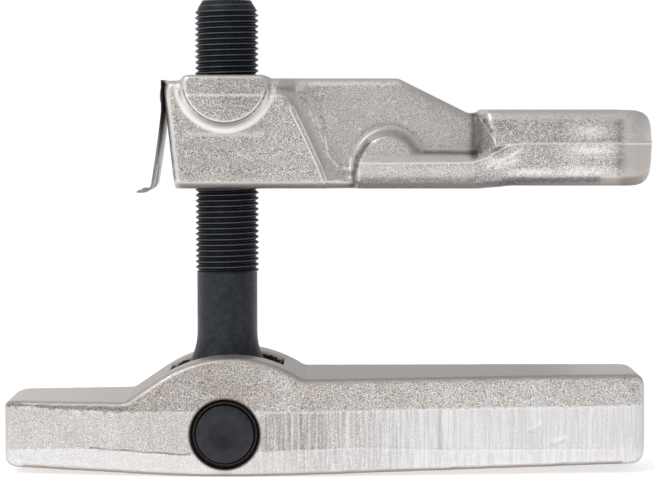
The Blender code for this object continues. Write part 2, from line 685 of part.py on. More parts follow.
def make_upper_fork_arm(material):
    arm = add_object("upper_fork_arm", loft(arm_rings()), material)
    tools = []
    for name, side in (("front", -1), ("rear", 1)):
        tools.append((make_boss(f"{name}_boss", side), "UNION"))
        tools.append((make_pad(f"{name}_pad", side), "UNION"))
    reach = BOSS_RADIUS - BOSS_CORNER
    square = [(-reach, -BLOCK_HALF), (reach, -BLOCK_HALF), (reach, BLOCK_HALF), (-reach, BLOCK_HALF)]
    top_pad = upright_prism(square, ARM_TOP / 2, BOSS_TOP - BOSS_CORNER / 6)
    tools.append((add_object("top_pad", top_pad), "UNION"))
    through_low = -ARM_TOP
    through_high = ARM_TOP * 2
    bore_radius = THREAD_DIAMETER / 2 + RUNNING_GAP
    bore = turned([(bore_radius, through_high), (bore_radius, through_low)])
    tools.append((add_object("bolt_bore_cutter", bore), "DIFFERENCE"))
    mouth = upright_prism(mouth_outline(), through_low, through_high)
    tools.append((add_object("mouth_cutter", mouth), "DIFFERENCE"))
    hole_radius = RIVET_SHANK / 2 + RUNNING_GAP
    hole_ends = (-ARM_LEFT + RIVET_DEEP + RUNNING_GAP, -ARM_LEFT * 2)
    hole = turned([(hole_radius, end) for end in hole_ends], "X", (0, 0, RIVET_HEIGHT), 16)
    tools.append((add_object("rivet_hole_cutter", hole), "DIFFERENCE"))
    for tool, operation in tools:
        boolean(arm, tool, operation)
        tool.location = ARM_PLACE
    arm.location = ARM_PLACE


# Leaf spring and its rivet

def spring_line():
    """Middle line of the strip, from its top end down to the tip of its hook."""
    x = -ARM_LEFT - RUNNING_GAP - SPRING_THICKNESS / 2
    kink = SPRING_TOP - SPRING_FLAT
    foot_height = kink - SPRING_LEAN
    foot = x - SPRING_SPREAD
    line = [(x, SPRING_TOP), (x, kink)]
    for share in (0.35, 0.7, 1.0):
        line.append((mix(x, foot, share ** 1.15), mix(kink, foot_height, share)))
    hook = arc((foot - SPRING_HOOK, foot_height), SPRING_HOOK, 360, 270, 5)[1:]
    line += hook
    line.append((hook[-1][0] - SPRING_HOOK_RUN, hook[-1][1]))
    return line


def thicken(line, thickness):
    """A closed outline round an open line, with the same thickness all along."""
    sides = ([], [])
    for i, spot in enumerate(line):
        before = Vector(line[max(0, i - 1)])
        after = Vector(line[min(len(line) - 1, i + 1)])
        run = (after - before).normalized()
        across = Vector((-run.y, run.x)) * thickness / 2
        sides[0].append(tuple(Vector(spot) + across))
        sides[1].append(tuple(Vector(spot) - across))
    return sides[0] + list(reversed(sides[1]))


def make_leaf_spring(material):
    outline = thicken(spring_line(), SPRING_THICKNESS)
    spring = add_object("leaf_spring", prism(outline, SPRING_WIDTH / 2), material)
    wide = ARM_LEFT * 2
    foot = SPRING_TOP - SPRING_FLAT - SPRING_LEAN
    slit_low = foot - SPRING_HOOK * 2
    slit_top = foot + SLIT_LENGTH
    corners = [(-wide, slit_low), (0.0, slit_low), (0.0, slit_top), (-wide, slit_top)]
    slit = add_object("slit_cutter", prism(corners, SLIT_WIDTH / 2))
    hole_radius = RIVET_SHANK / 2 + RUNNING_GAP
    hole = turned([(hole_radius, 0.0), (hole_radius, -wide)], "X", (0, 0, RIVET_HEIGHT), 16)
    hole = add_object("spring_hole_cutter", hole)
    boolean(spring, slit, "DIFFERENCE")
    boolean(spring, hole, "DIFFERENCE")
    for item in (spring, slit, hole):
        item.location = ARM_PLACE


def make_spring_rivet(material):
    seat = -ARM_LEFT - RUNNING_GAP * 2 - SPRING_THICKNESS
    head = RIVET_HEAD / 2
    shank = RIVET_SHANK / 2
    profile = [(shank, -ARM_LEFT + RIVET_DEEP), (shank, seat), (head, seat),
               (head, seat - RIVET_HEAD_HIGH * 0.5),
               (min(RIVET_HEAD_FLAT / 2, head), seat - RIVET_HEAD_HIGH)]
    rivet = add_object("spring_rivet", turned(profile, "X", (0, 0, RIVET_HEIGHT), 24), material)
    rivet.location = ARM_PLACE


def main():
    clear_scene()
    forged = make_material("forged_steel", (0.60, 0.58, 0.56), 0.42, 0.9)
    black = make_material("black_steel", (0.022, 0.026, 0.032), 0.38, 0.6)
    spring_steel = make_material("spring_steel", (0.13, 0.14, 0.15), 0.33, 0.85)
    make_lower_lever_arm(forged)
    make_pivot_pin(black)
    make_snap_ring("snap_ring_front", -1, black)
    make_snap_ring("snap_ring_rear", 1, black)
    make_eye_bolt(black)
    make_upper_fork_arm(forged)
    make_leaf_spring(spring_steel)
    make_spring_rivet(black)


main()
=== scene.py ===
"""Looks for the two-arm ball joint press: forged skins, thread, turned pieces, finishes and light."""

import json
import math

import bpy
import numpy as np
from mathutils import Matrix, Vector


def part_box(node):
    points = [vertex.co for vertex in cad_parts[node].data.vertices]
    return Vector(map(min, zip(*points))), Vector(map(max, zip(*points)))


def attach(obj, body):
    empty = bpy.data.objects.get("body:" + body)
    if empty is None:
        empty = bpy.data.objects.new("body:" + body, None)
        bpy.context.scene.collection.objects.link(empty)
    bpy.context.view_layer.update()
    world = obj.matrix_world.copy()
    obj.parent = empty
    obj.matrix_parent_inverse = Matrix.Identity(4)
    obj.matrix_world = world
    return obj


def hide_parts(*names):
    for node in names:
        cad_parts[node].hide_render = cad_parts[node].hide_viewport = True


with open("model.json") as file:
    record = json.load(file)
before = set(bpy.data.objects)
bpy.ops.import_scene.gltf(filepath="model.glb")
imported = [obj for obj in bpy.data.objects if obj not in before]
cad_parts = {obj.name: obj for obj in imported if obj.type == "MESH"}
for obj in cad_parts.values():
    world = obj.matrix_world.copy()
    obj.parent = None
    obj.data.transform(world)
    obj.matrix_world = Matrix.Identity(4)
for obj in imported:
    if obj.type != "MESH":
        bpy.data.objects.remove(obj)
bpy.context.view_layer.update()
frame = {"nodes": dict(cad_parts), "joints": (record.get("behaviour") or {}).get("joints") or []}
MM = 0.001

# Places that every piece is drawn from
pin = Vector(frame["joints"][0]["pos_m"])
bolt_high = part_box("eye_bolt")[1]
pin_low, pin_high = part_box("pivot_pin")
arm_low, arm_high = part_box("upper_fork_arm")
lever_low, lever_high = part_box("lower_lever_arm")
rivet_low, rivet_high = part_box("spring_rivet")
spring_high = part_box("leaf_spring")[1]
RUNNING_GAP = 0.3 * MM

# Bolt: the thread of a half inch pipe, the shank below it, and the divided rod that carries both
THREAD_PITCH = 1.814 * MM
THREAD_OUTER = 10.4775 * MM
THREAD_CORE = 9.3155 * MM
THREAD_FOOT = pin.z + 50.5 * MM
THREAD_RUNOUT = 0.7 * MM
THREAD_FLAT = 0.09
SHANK_RADIUS = 9.8965 * MM
BOLT_CUT = pin.z + 34.0 * MM
BOLT_BRIDGE = 0.6 * MM
BOLT_CHAMFER = 2.6 * MM
BOLT_CHAMFER_TALL = 4.2 * MM
BOLT_END_RIM = 0.5 * MM
BOLT_END_FACED = 2.4 * MM
FACING_DEEP = 0.05 * MM
ROD_COLUMNS = 96
ROD_FIRST_CUTS = 27
ROD_SECOND_CUTS = 24
ROD_START_RADIUS = THREAD_OUTER - BOLT_CHAMFER

# Pin, the radii of its faced middle and centre mark, its rings and their seats in the lever
PIN_RADIUS = (pin_high.x - pin_low.x) / 2
PIN_CHAMFER = 0.4 * MM
PIN_FACED = (5.2 * MM, 5.0 * MM)
PIN_CENTRE = (1.1 * MM, 0.3 * MM)
PIN_CENTRE_DEEP = 0.35 * MM
PIN_CUT_LONG = 80 * MM
RING_SEAT_RADIUS = 11.3 * MM
RING_SEAT_FLOOR = 20.7 * MM
SEAT_CUT_LONG = 40 * MM
RING_GROOVE_OUT = 1.0 * MM
RING_GROOVE_WIDE = 2.4 * MM
RING_GROOVE_DEEP = 0.45 * MM

# Rivet, the plug and the cut of its hole as radius and length, and the spring's eased edge
RIVET_SHANK = 1.7 * MM
RIVET_HEAD_HIGH = 1.1 * MM
RIVET_BRIM = 0.12 * MM
RIVET_BRIM_SHARE = 0.94
RIVET_CROWN = 0.3 * MM
RIVET_DOME_STEPS = 6
RIVET_STEPS = 48
RIVET_HOLE_STEPS = 32
RIVET_PLUG = (2.1 * MM, 10.0 * MM)
RIVET_PLUG_MIDDLE = 5.1 * MM
RIVET_CUT = (2.0 * MM, 30 * MM)
RIVET_CUT_BACK = 7.5 * MM
SPRING_EDGE = 0.13 * MM

# Forged skins: voxels, smoothing, plugs for the bores, and the zones and half widths of fine lines
LEVER_VOXEL = 0.82 * MM
ARM_VOXEL = 0.68 * MM
LEVER_SOFT_ROUNDS = 3
ARM_SOFT_ROUNDS = 7
CUTTER_STEPS = 96
PLUG_OVER = 0.05 * MM
ARM_PLUG_SHORT = 0.2 * MM
BOLT_CUT_LONG = 90 * MM
LINE_ZONE = 1.2 * MM
ARM_LINE_ZONE = LINE_ZONE + 0.5 * MM
SCORED_ZONE = 6.2 * MM
FINE_ZONE = 0.7 * MM
LINE_HALF = 0.34 * MM
FINE_HALF = 0.22 * MM
CRACK_HALF = 0.17 * MM

# How squarely skin must face the side, the side near the lever's ends, down, and up, to count so
SIDE_FACING = (0.88, 0.972)
END_FACING = (0.45, 0.80)
UNDER_FACING = (0.25, 0.75)
ROOF_FACING = (0.84, 0.97)

# How far each kind of line or spot stands out of the skin, or sinks into it
PARTING_HIGH = 0.18 * MM
RIDGE_HIGH = 0.26 * MM
TIP_LINE_HIGH = 0.08 * MM
SHOULDER_RIM_HIGH = 0.20 * MM
CHIP_HIGH = 0.24 * MM
SPECK_HIGH = 0.22 * MM
PIT_DEEP = 0.35 * MM
CREASE_DEEP = 0.24 * MM
BOSS_FLARE_HIGH = 0.85 * MM
BAND_EDGE_HIGH = 0.10 * MM
BAND_RIDGE_HIGH = 0.13 * MM
SCORE_DEEP = 0.19 * MM
DENT_DEEP = 0.30 * MM
CRACK_DEEP = 0.30 * MM

# Lines of the fork arm's forging, as X and Z in millimetres from the pin, and specks with a radius
ARM_PARTING = [(14.6, 108.7), (18.0, 108.7), (19.8, 108.2), (21.4, 105.0)]
ARM_RIDGE = [(21.4, 105.0), (26.0, 95.5), (30.6, 85.5), (32.4, 80.4)]
RIDGE_LINE_SPREAD = 0.58
RIDGE_LINE_RISE = 0.42
ARM_RAIL_PARTING = [(43.2, 86.9), (80.0, 87.2), (84.0, 88.6), (91.5, 93.1), (95.0, 93.4),
                    (140.0, 93.4)]
ARM_TIP_LINE = [(109.0, 89.2), (127.0, 89.1)]
SPECKS = [(35.6, 101.0, 0.6), (43.6, 98.0, 0.5), (47.2, 103.0, 0.6), (58.3, 99.8, 0.8),
          (101.5, 96.0, 0.8), (104.0, 97.2, 0.6), (97.0, 98.0, 0.6), (91.5, 96.6, 0.6)]

# Torn chips on the web, right of the ridge, as short strokes
CHIPS = [[(27.2, 104.4), (28.4, 100.8)], [(29.5, 101.6), (30.4, 98.6)], [(30.3, 97.2), (31.7, 94.2)],
         [(32.3, 95.4), (33.0, 91.6)], [(32.8, 90.6), (34.1, 88.5)], [(35.2, 87.6), (36.4, 85.8)],
         [(38.4, 85.3), (40.4, 84.9)], [(40.7, 88.3), (40.5, 85.0)]]
CHIP_HALF = 0.42 * MM

# The boss round the bolt, in millimetres: its side circle, and the flare that runs out of it
BOSS_SPOT = (0.0, 113.3)
BOSS_RADIUS = 13.5
BOSS_FLARE_WIDE = 3.6
BOSS_CREASE = 13.65
# Rings of painted highlight round the boss, as inner and outer radius, and the height above which they
# fade
BOSS_RIM = (12.55, 13.4)
BOSS_BAND = (14.9, 17.2)
BOSS_BAND_TOP = 110.0
BOSS_FACE_LINE = [(-12.0, 108.7), (12.0, 108.7)]

# Painted shade in the fork arm's hollows, creases and pits, a darker patch beside the boss, painted
# shadow at the shoulder and painted shade along the rail and at the fork's end, with their half
# widths, and pits with a radius
BOSS_DARK_PATCH = [(17.6, 110.9), (21.6, 110.6)]
BOSS_DARK_PATCH_HALF = 0.95 * MM
CREASE_SHADE_HALF = 0.24 * MM
PAD_SPOT = (52.5, 87.1)
PAD_OUTLINE = 12.5
PAD_OUTLINE_HALF = 0.35 * MM
PAD_HOLLOW = [(45.9, 93.1), (42.8, 88.3), (41.6, 84.0), (41.2, 79.6)]
PAD_HOLLOW_HALF = 1.0 * MM
LEDGE_HOLLOW = [(64.2, 90.4), (80.4, 90.0)]
LEDGE_HALF = 0.5 * MM
SHOULDER_HOLLOW = [(80.6, 102.0), (80.8, 96.0), (80.2, 89.4)]
SHOULDER_HALF = 1.35 * MM
SHOULDER_RIM = [(81.9, 101.6), (84.3, 97.3), (85.9, 95.0), (86.7, 92.1)]
SHOULDER_PITS = [(83.4, 100.6, 0.8), (85.6, 97.4, 0.6)]
RAIL_SHADE = [(43.5, 81.1), (92.0, 81.1), (100.0, 81.7), (119.0, 82.0)]
FORK_END_SHADE = [(125.9, 100.0), (125.9, 86.0)]
SHADE_HALF = 1.25 * MM

# Painted highlights on the fork arm: bright patches as X, Z and their half sizes, a band along the
# rail, and streaks on the ramp
HIGHLIGHT_PATCHES = [(116.5, 97.2, 6.2, 2.6), (117.0, 91.4, 7.4, 1.7), (114.5, 84.4, 10.0, 1.7),
          (99.0, 84.3, 9.0, 1.2), (88.5, 87.2, 4.5, 1.4)]
RAIL_HIGHLIGHT = [(43.0, 84.2), (92.0, 84.4)]
RAIL_HIGHLIGHT_HALF = 1.0 * MM
RAMP_STREAKS = [[(84.2, 85.8), (94.5, 91.0)], [(87.3, 85.4), (93.5, 88.4)]]
RAMP_STREAK_HALF = 0.7 * MM

# Where the fork arm's skin is smooth, calm, grainy on a slope, or darkened by painted shade on the
# tip's lower half, in millimetres
SMOOTH_TIP = 128.0
SMOOTH_FORK = (82.0, 101.1)
SMOOTH_WEB = (20.0, 57.0, 112.0)
CALM_WEB = (31.0, 81.0)
GRAINY_RAMP = (80.5, 96.5, 82.0, 93.3)
GRAINY_SHOULDER = (82.4, 88.0, 92.0, 100.4)
TIP_SHADE = (126.5, 93.4)

# The lever's trimmed band: its edges, and the torn flash on its foot
BAND_TOP_LINE = [(-68.0, 8.2), (-33.8, 7.05), (24.2, 7.3), (85.7, 8.2), (132.0, 8.4)]
BAND_FOOT_LINE = [(-66.0, -5.7), (-42.0, -4.9), (-14.4, -6.45), (9.0, -5.9), (40.8, -4.4),
                  (69.0, -5.35), (122.0, -5.7)]
BAND_ENDS = (-66.0, 129.0)
FLASH_FROM = -43.5
FLASH_TO = -11.0
FLASH_POINTS = 64

# Scores as X and depth, light ridges as X and strength, waves of the close scores as length,
# strength and start, and two dents
BAND_SCORES = [(31.6, 0.17), (69.4, 0.17), (-24.0, 0.08), (93.0, 0.06)]
BAND_SCORE_HALF = 0.40
BAND_RIDGES = [(21.6, 0.7), (39.7, 1.0), (57.5, 1.0), (75.2, 0.8), (81.0, 0.45), (108.6, 0.6),
               (118.1, 0.8)]
BAND_RIDGE_HALF = 0.42 * MM
SCORE_RUN = (11.5, 34.5)
SCORE_WAVES = [(1.9, 0.45, 0.3), (3.7, 0.35, 1.0), (1.15, 0.20, 4.1)]
FAINT_SCORES = 0.16
DENTS = [[(98.8, 0.8), (101.4, 2.6)], [(106.0, -3.6), (109.8, -2.1)]]
DENT_HALF = 0.55 * MM

# The slot in the hump, painted dark as its shadow, the darker strip on the rolled edge at the left
# end, and darker spots on the right end, in millimetres
SLOT_REACH = (19.5, 11.4)
SLOT_TAPER = (0.6, 3.4)
SLOT_LIP = (0.5, 1.7)
LEFT_EDGE_DARK_TO = -31.0
END_DARK_SPOTS = [(130.2, 17.9, 2.2), (132.0, 13.9, 1.8)]

# Colours of the finishes, and of painted shade, shadow, highlight and reflection
CREASE_SHADE_BROWN = (0.24, 0.20, 0.17, 1)
UNDER_SHADE = (0.50, 0.47, 0.45, 1)
RAIL_SHADE_SLATE = (0.42, 0.45, 0.50, 1)
HOLLOW_SHADE_BROWN = (0.17, 0.135, 0.11, 1)
SHOULDER_SHADOW_BROWN = (0.15, 0.12, 0.10, 1)
LEFT_EDGE_DARK = (0.50, 0.48, 0.46, 1)
TRIMMED_STEEL = (0.96, 0.96, 0.975, 1)
FOOT_STEEL_AND_SHEEN = (0.98, 0.98, 0.99, 1)
SCORE_SHADE = (0.42, 0.38, 0.36, 1)
SCORE_STREAKS = ((0.80, 0.79, 0.79, 1), (1.12, 1.12, 1.12, 1))
SLOT_SHADOW_BLACK = (0.035, 0.027, 0.022, 1)
SEAT_BROWN = (0.10, 0.05, 0.025, 1)
OXIDE_BLACKS = ((0.017, 0.021, 0.028, 1), (0.030, 0.036, 0.045, 1))
RING_BLACKS = ((0.010, 0.010, 0.011, 1), (0.022, 0.022, 0.024, 1))
PIN_BLACKS = ((0.022, 0.026, 0.032, 1), (0.033, 0.037, 0.045, 1))
PIN_MIDDLE_BLACK = (0.012, 0.014, 0.018, 1)
CREST_HIGHLIGHT_SLATE = (0.17, 0.19, 0.22, 1)
SPRING_SHADOW_BLACK = (0.030, 0.031, 0.034, 1)
SPRING_LIT_GREY = (0.33, 0.335, 0.34, 1)
SPRING_STREAKS = ((0.85, 0.85, 0.85, 1), (1.05, 1.05, 1.05, 1))

# Scales of the grains and how deep their bump looks
FORGED_GRAIN = 3300.0
FORGED_BUMP = 0.00006
OXIDE_GRAIN = 1500.0
PIN_GRAIN = 1300.0
OXIDE_BUMP = 0.000012
SPRING_GRAIN = 1200.0
SPRING_BUMP = 0.000008
TURNING_RINGS = 260.0
TORN_EDGE = 420.0
SCORE_STREAK_GRAIN = 1500.0

# Stage
FLOOR_WIDE = 30
FLOOR_LONG = 20
FLOOR_FRONT = 0.42
FLOOR_GLOW = 0.62
LEFT_LEVEL = 0.84
RIGHT_LEVEL = 0.56
ROOM_HALF = 0.7
CEILING_SHARE = 0.66
CEILING_FROM = 0.5
LAMP_POWER = 8.0
LAMP_SIZE = 0.9
LAMP_PLACE = (-0.9, -1.1, 1.3)
LAMP_AIM = (0, 0, 0.08)

# Camera: the photograph's viewpoint
PHOTO_WIDTH = 655
PHOTO_FOCAL = 2434.0
CAMERA_BACK = 800.0 * MM
CAMERA_RISE = 107.5 * MM
CAMERA_SIDE = 33.0 * MM
CAMERA_PITCH_DEG = 3.315
SENSOR_WIDTH = 36.0


# Modelling helpers

def select_only(*pieces):
    bpy.ops.object.select_all(action="DESELECT")
    for piece in pieces:
        piece.select_set(True)
    bpy.context.view_layer.objects.active = pieces[0]


def set_mode(mode):
    bpy.ops.object.mode_set(mode=mode)


def apply_modifier(piece, kind, **values):
    """Adds one modifier with these values and applies it."""
    change = piece.modifiers.new(kind.lower(), kind)
    for key, value in values.items():
        setattr(change, key, value)
    select_only(piece)
    bpy.ops.object.modifier_apply(modifier=change.name)


def copy_of_node(node, name):
    """A copy of a node's mesh with its loose triangles merged, as a piece of its own."""
    piece = bpy.data.objects.new(name, frame["nodes"][node].data.copy())
    bpy.context.scene.collection.objects.link(piece)
    piece.data.materials.clear()
    select_only(piece)
    set_mode("EDIT")
    bpy.ops.mesh.select_all(action="SELECT")
    bpy.ops.mesh.remove_doubles(threshold=0.002 * MM)
    bpy.ops.mesh.tris_convert_to_quads()
    set_mode("OBJECT")
    return piece


def cylinder(name, radius, length, centre, axis="Z", steps=CUTTER_STEPS):
    turn = {"Z": (0, 0, 0), "Y": (math.pi / 2, 0, 0), "X": (0, math.pi / 2, 0)}[axis]
    bpy.ops.object.select_all(action="DESELECT")
    bpy.ops.mesh.primitive_cylinder_add(vertices=steps, radius=radius, depth=length,
                                        location=centre, rotation=turn)
    piece = bpy.context.active_object
    piece.name = name
    bpy.ops.object.transform_apply(location=True, rotation=True, scale=True)
    return piece


def combine(piece, operation, *round_body):
    """Joins the piece with a round body, or cuts it with one, which is then removed."""
    tool = cylinder("round_tool", *round_body)
    apply_modifier(piece, "BOOLEAN", object=tool, operation=operation, solver="MANIFOLD")
    bpy.data.objects.remove(tool)


def smooth_shade(piece, degrees=40.0):
    select_only(piece)
    bpy.ops.object.shade_smooth_by_angle(angle=math.radians(degrees))


def soften(piece, voxel, rounds):
    """Gives a hard-edged body the soft edges of a forging."""
    apply_modifier(piece, "REMESH", mode="VOXEL", voxel_size=voxel)
    apply_modifier(piece, "SMOOTH", factor=0.5, iterations=rounds)


def select_where(piece, domain, picked):
    """Leaves exactly the picked vertices, edges or faces selected, in edit mode."""
    select_only(piece)
    set_mode("EDIT")
    bpy.ops.mesh.select_mode(type={"vertices": "VERT", "edges": "EDGE", "polygons": "FACE"}[domain])
    bpy.ops.mesh.select_all(action="DESELECT")
    set_mode("OBJECT")
    getattr(piece.data, domain).foreach_set("select", picked)
    set_mode("EDIT")


def read_vectors(items, key):
    values = np.empty(len(items) * 3, dtype=np.float32)
    items.foreach_get(key, values)
    return values.reshape(-1, 3).astype(float)


def places_of(piece):
    return read_vectors(piece.data.vertices, "co")


def normals_of(piece):
    return read_vectors(piece.data.vertices, "normal")


def paint(piece, name, values):
    """Keeps a value from 0 to 1 on each vertex, for the piece's material to read."""
    layer = piece.data.attributes.get(name) or piece.data.attributes.new(name, "FLOAT", "POINT")
    layer.data.foreach_set("value", np.asarray(values, dtype=np.float32))


def distance_to_line(points, line):
    """Distance in the X-Z plane from each point to a chain of runs given in millimetres."""
    spots = points[:, (0, 2)] - np.array((pin.x, pin.z))
    best = np.full(len(spots), 1.0)
    for start, end in zip(line, line[1:]):
        start = np.array(start) * MM
        run = np.array(end) * MM - start
        share = np.clip((spots - start) @ run / (run @ run), 0.0, 1.0)
        gap = spots - start - share[:, None] * run
        best = np.minimum(best, np.hypot(gap[:, 0], gap[:, 1]))
    return best


def shifted(line, across):
    """The line moved sideways, in millimetres."""
    return [(x + across, z + across * RIDGE_LINE_RISE) for x, z in line]


def arc(spot, radius, start, end, steps=24):
    """A chain along part of a circle, its angles in degrees from +X."""
    turns = [math.radians(start + (end - start) * i / steps) for i in range(steps + 1)]
    return [(spot[0] + radius * math.cos(t), spot[1] + radius * math.sin(t)) for t in turns]


def ridge_of(points, lines, half):
    """A rounded share from 1 on the lines to 0 away from them."""
    share = np.zeros(len(points))
    for line in lines:
        share = np.maximum(share, np.exp(-(distance_to_line(points, line) / half) ** 2))
    return share


def spots_of(points, spots):
    """A rounded share about each spot, given as X, Z and radius."""
    x, z = in_millimetres(points)
    share = np.zeros(len(points))
    for spot_x, spot_z, radius in spots:
        gap = np.hypot(x - spot_x, z - spot_z) / radius
        share = np.maximum(share, np.exp(-2 * gap ** 2))
    return share


def strongest(points, marks):
    """The largest share at each point of marks given as lines, half width and strength."""
    return np.maximum.reduce([strength * ridge_of(points, lines, half)
                              for lines, half, strength in marks])


def in_millimetres(points):
    return (points[:, 0] - pin.x) / MM, (points[:, 2] - pin.z) / MM


def ramp(values, low, high):
    return np.clip((values - low) / (high - low), 0.0, 1.0)


def refine_near(piece, lines, zone):
    """Divides the side faces near some lines, so that a fine ridge can stand on them."""
    middles = read_vectors(piece.data.polygons, "center")
    normals = read_vectors(piece.data.polygons, "normal")
    near = np.full(len(middles), False)
    for line in lines:
        near |= distance_to_line(middles, line) < zone
    near &= np.abs(normals[:, 2]) < 0.75
    select_where(piece, "polygons", near)
    bpy.ops.mesh.subdivide(number_cuts=1)
    set_mode("OBJECT")


def displace(piece, shares, high):
    """Moves each point along its normal by its share of a height."""
    group = piece.vertex_groups.new(name="moved")
    for i in np.nonzero(shares)[0]:
        group.add([int(i)], float(shares[i]), "REPLACE")
    apply_modifier(piece, "DISPLACE", vertex_group="moved", strength=high, mid_level=0.0)
    piece.vertex_groups.remove(piece.vertex_groups["moved"])


def press(piece, node, shares, high):
    """Lifts or sinks the skin by these shares of a height, and never out of the node's own box."""
    low_corner, high_corner = (np.array(corner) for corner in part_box(node))
    places = places_of(piece)
    normals = normals_of(piece)
    if high > 0:
        room = np.where(normals > 0.2, high_corner - places, 1.0)
        room = np.minimum(room, np.where(normals < -0.2, places - low_corner, 1.0)).min(axis=1)
        shares = shares * np.clip(room / high, 0.0, 1.0)
    displace(piece, np.where(shares > 0.01, shares, 0.0), high)


# Forgings

def make_lever():
    """The lever's forging: soft all over, scored on its trimmed band, with clean machined holes."""
    lever = copy_of_node("lower_lever_arm", "lever_forging")
    middle = Vector((pin.x, 0, pin.z))
    deep = lever_high.y - lever_low.y - PLUG_OVER
    combine(lever, "UNION", RING_SEAT_RADIUS + PLUG_OVER, deep, middle, "Y")
    soften(lever, LEVER_VOXEL, LEVER_SOFT_ROUNDS)
    edges = [BAND_TOP_LINE, BAND_FOOT_LINE]
    flash = [flash_line()]
    scored = [[(SCORE_RUN[0], 1.0), (SCORE_RUN[1], 1.0)]]
    strokes = [upright_line(place) for place, strength in BAND_RIDGES + BAND_SCORES]
    refine_near(lever, edges, LINE_ZONE)
    refine_near(lever, scored, SCORED_ZONE)
    refine_near(lever, strokes + DENTS + flash, FINE_ZONE)
    places = places_of(lever)
    upright = side_share(lever)
    front = upright * (places[:, 1] < 0)
    for share, high in ((ridge_of(places, edges, LINE_HALF) * upright, BAND_EDGE_HIGH),
                        (score_share(places) * upright, -SCORE_DEEP),
                        (band_ridges(places) * upright, BAND_RIDGE_HIGH),
                        (ridge_of(places, DENTS, DENT_HALF) * front, -DENT_DEEP),
                        (ridge_of(places, flash, CRACK_HALF) * front, -CRACK_DEEP)):
        press(lever, "lower_lever_arm", share, high)
    combine(lever, "DIFFERENCE", PIN_RADIUS + RUNNING_GAP, PIN_CUT_LONG, middle, "Y")
    for side in (-1, 1):
        centre = middle + Vector((0, side * (RING_SEAT_FLOOR + SEAT_CUT_LONG / 2), 0))
        combine(lever, "DIFFERENCE", RING_SEAT_RADIUS, SEAT_CUT_LONG, centre, "Y")
    paint_lever(lever, edges, flash)
    smooth_shade(lever)
    return lever


def paint_lever(lever, edges, flash):
    """Marks the lever's skin for its finish and for painted light and shade: faces, lines for painted
    highlights, hollows for painted shade, the slot's painted shadow, the darker strip at the left end,
    and what lies above and below the trimmed band."""
    places = places_of(lever)
    upward = normals_of(lever)[:, 2]
    x, z = in_millimetres(places)
    front = places[:, 1] < 0
    flat = side_to_the_ends(lever)
    paint(lever, "flat", flat)
    # Down-facing skin, darkened in the material as painted shade
    paint(lever, "under", under_share(lever))
    paint(lever, "top", ramp(upward, *ROOF_FACING))
    # Band edges, ridges and dents, lightened in the material as painted highlights
    paint(lever, "line", np.maximum.reduce([
        0.4 * ridge_of(places, edges, LINE_HALF), band_ridges(places),
        0.7 * ridge_of(places, DENTS, DENT_HALF) * front]))
    # Flash line and scores, darkened in the material as painted shade, and darker spots on the right
    # end
    paint(lever, "hollow", np.maximum.reduce([
        ridge_of(places, flash, CRACK_HALF * 1.2) * front, 0.5 * score_share(places),
        0.6 * spots_of(places, END_DARK_SPOTS) * flat * front]))
    # The slot's inside, painted near black as its shadow
    within = (np.abs(x) < SLOT_REACH[0]) & (np.abs(places[:, 1]) < SLOT_REACH[1] * MM)
    taper = ramp(SLOT_REACH[0] - np.abs(x), *SLOT_TAPER)
    paint(lever, "slot", within * taper * ramp(depth_in_hump(places) / MM, *SLOT_LIP))
    # A darker strip on the rolled edge below the top, at the left end
    paint(lever, "left_edge_dark", ramp(LEFT_EDGE_DARK_TO - x, -2.0, 2.0) * ramp(0.72 - upward, 0.0, 0.3))
    paint(lever, "above", ramp(z - height_on(BAND_TOP_LINE, x), -2.0, 2.0))
    paint(lever, "below", ramp(height_on(BAND_FOOT_LINE, x) - z, -2.0, 2.0))


def depth_in_hump(points):
    """How far each point lies below the top of the lever at its place along it."""
    columns = np.round(in_millimetres(points)[0]).astype(int)
    tops = {column: points[columns == column, 2].max() for column in set(columns.tolist())}
    return np.array([tops[column] for column in columns.tolist()]) - points[:, 2]


def side_to_the_ends(lever):
    """The lever's side faces, with the corners at both ends, which the trimming reached too."""
    x = in_millimetres(places_of(lever))[0]
    across = np.abs(normals_of(lever)[:, 1])
    ends = (x < BAND_ENDS[0]) | (x > BAND_ENDS[1])
    return np.where(ends, ramp(across, *END_FACING), side_share(lever))


def height_on(line, x):
    return np.interp(x, [point[0] for point in line], [point[1] for point in line])


def flash_line():
    """The torn edge of the flash, which wanders along the band's foot."""
    line = []
    for x in np.linspace(FLASH_FROM, FLASH_TO, FLASH_POINTS):
        wander = 0.14 * math.sin(x * 0.55) + 0.05 * math.sin(x * 2.3 + 1.0)
        line.append((x, float(height_on(BAND_FOOT_LINE, x)) + wander + 0.15))
    return line


def upright_line(place):
    """A stroke across the band, from its foot to its top."""
    return [(place, float(height_on(BAND_FOOT_LINE, place)) + 0.4),
            (place, float(height_on(BAND_TOP_LINE, place)) - 0.4)]


def band_ridges(points):
    """The light upright lines that the trimming die left standing on the band."""
    share = np.zeros(len(points))
    for place, strength in BAND_RIDGES:
        line = [upright_line(place)]
        share = np.maximum(share, strength * ridge_of(points, line, BAND_RIDGE_HALF))
    return share


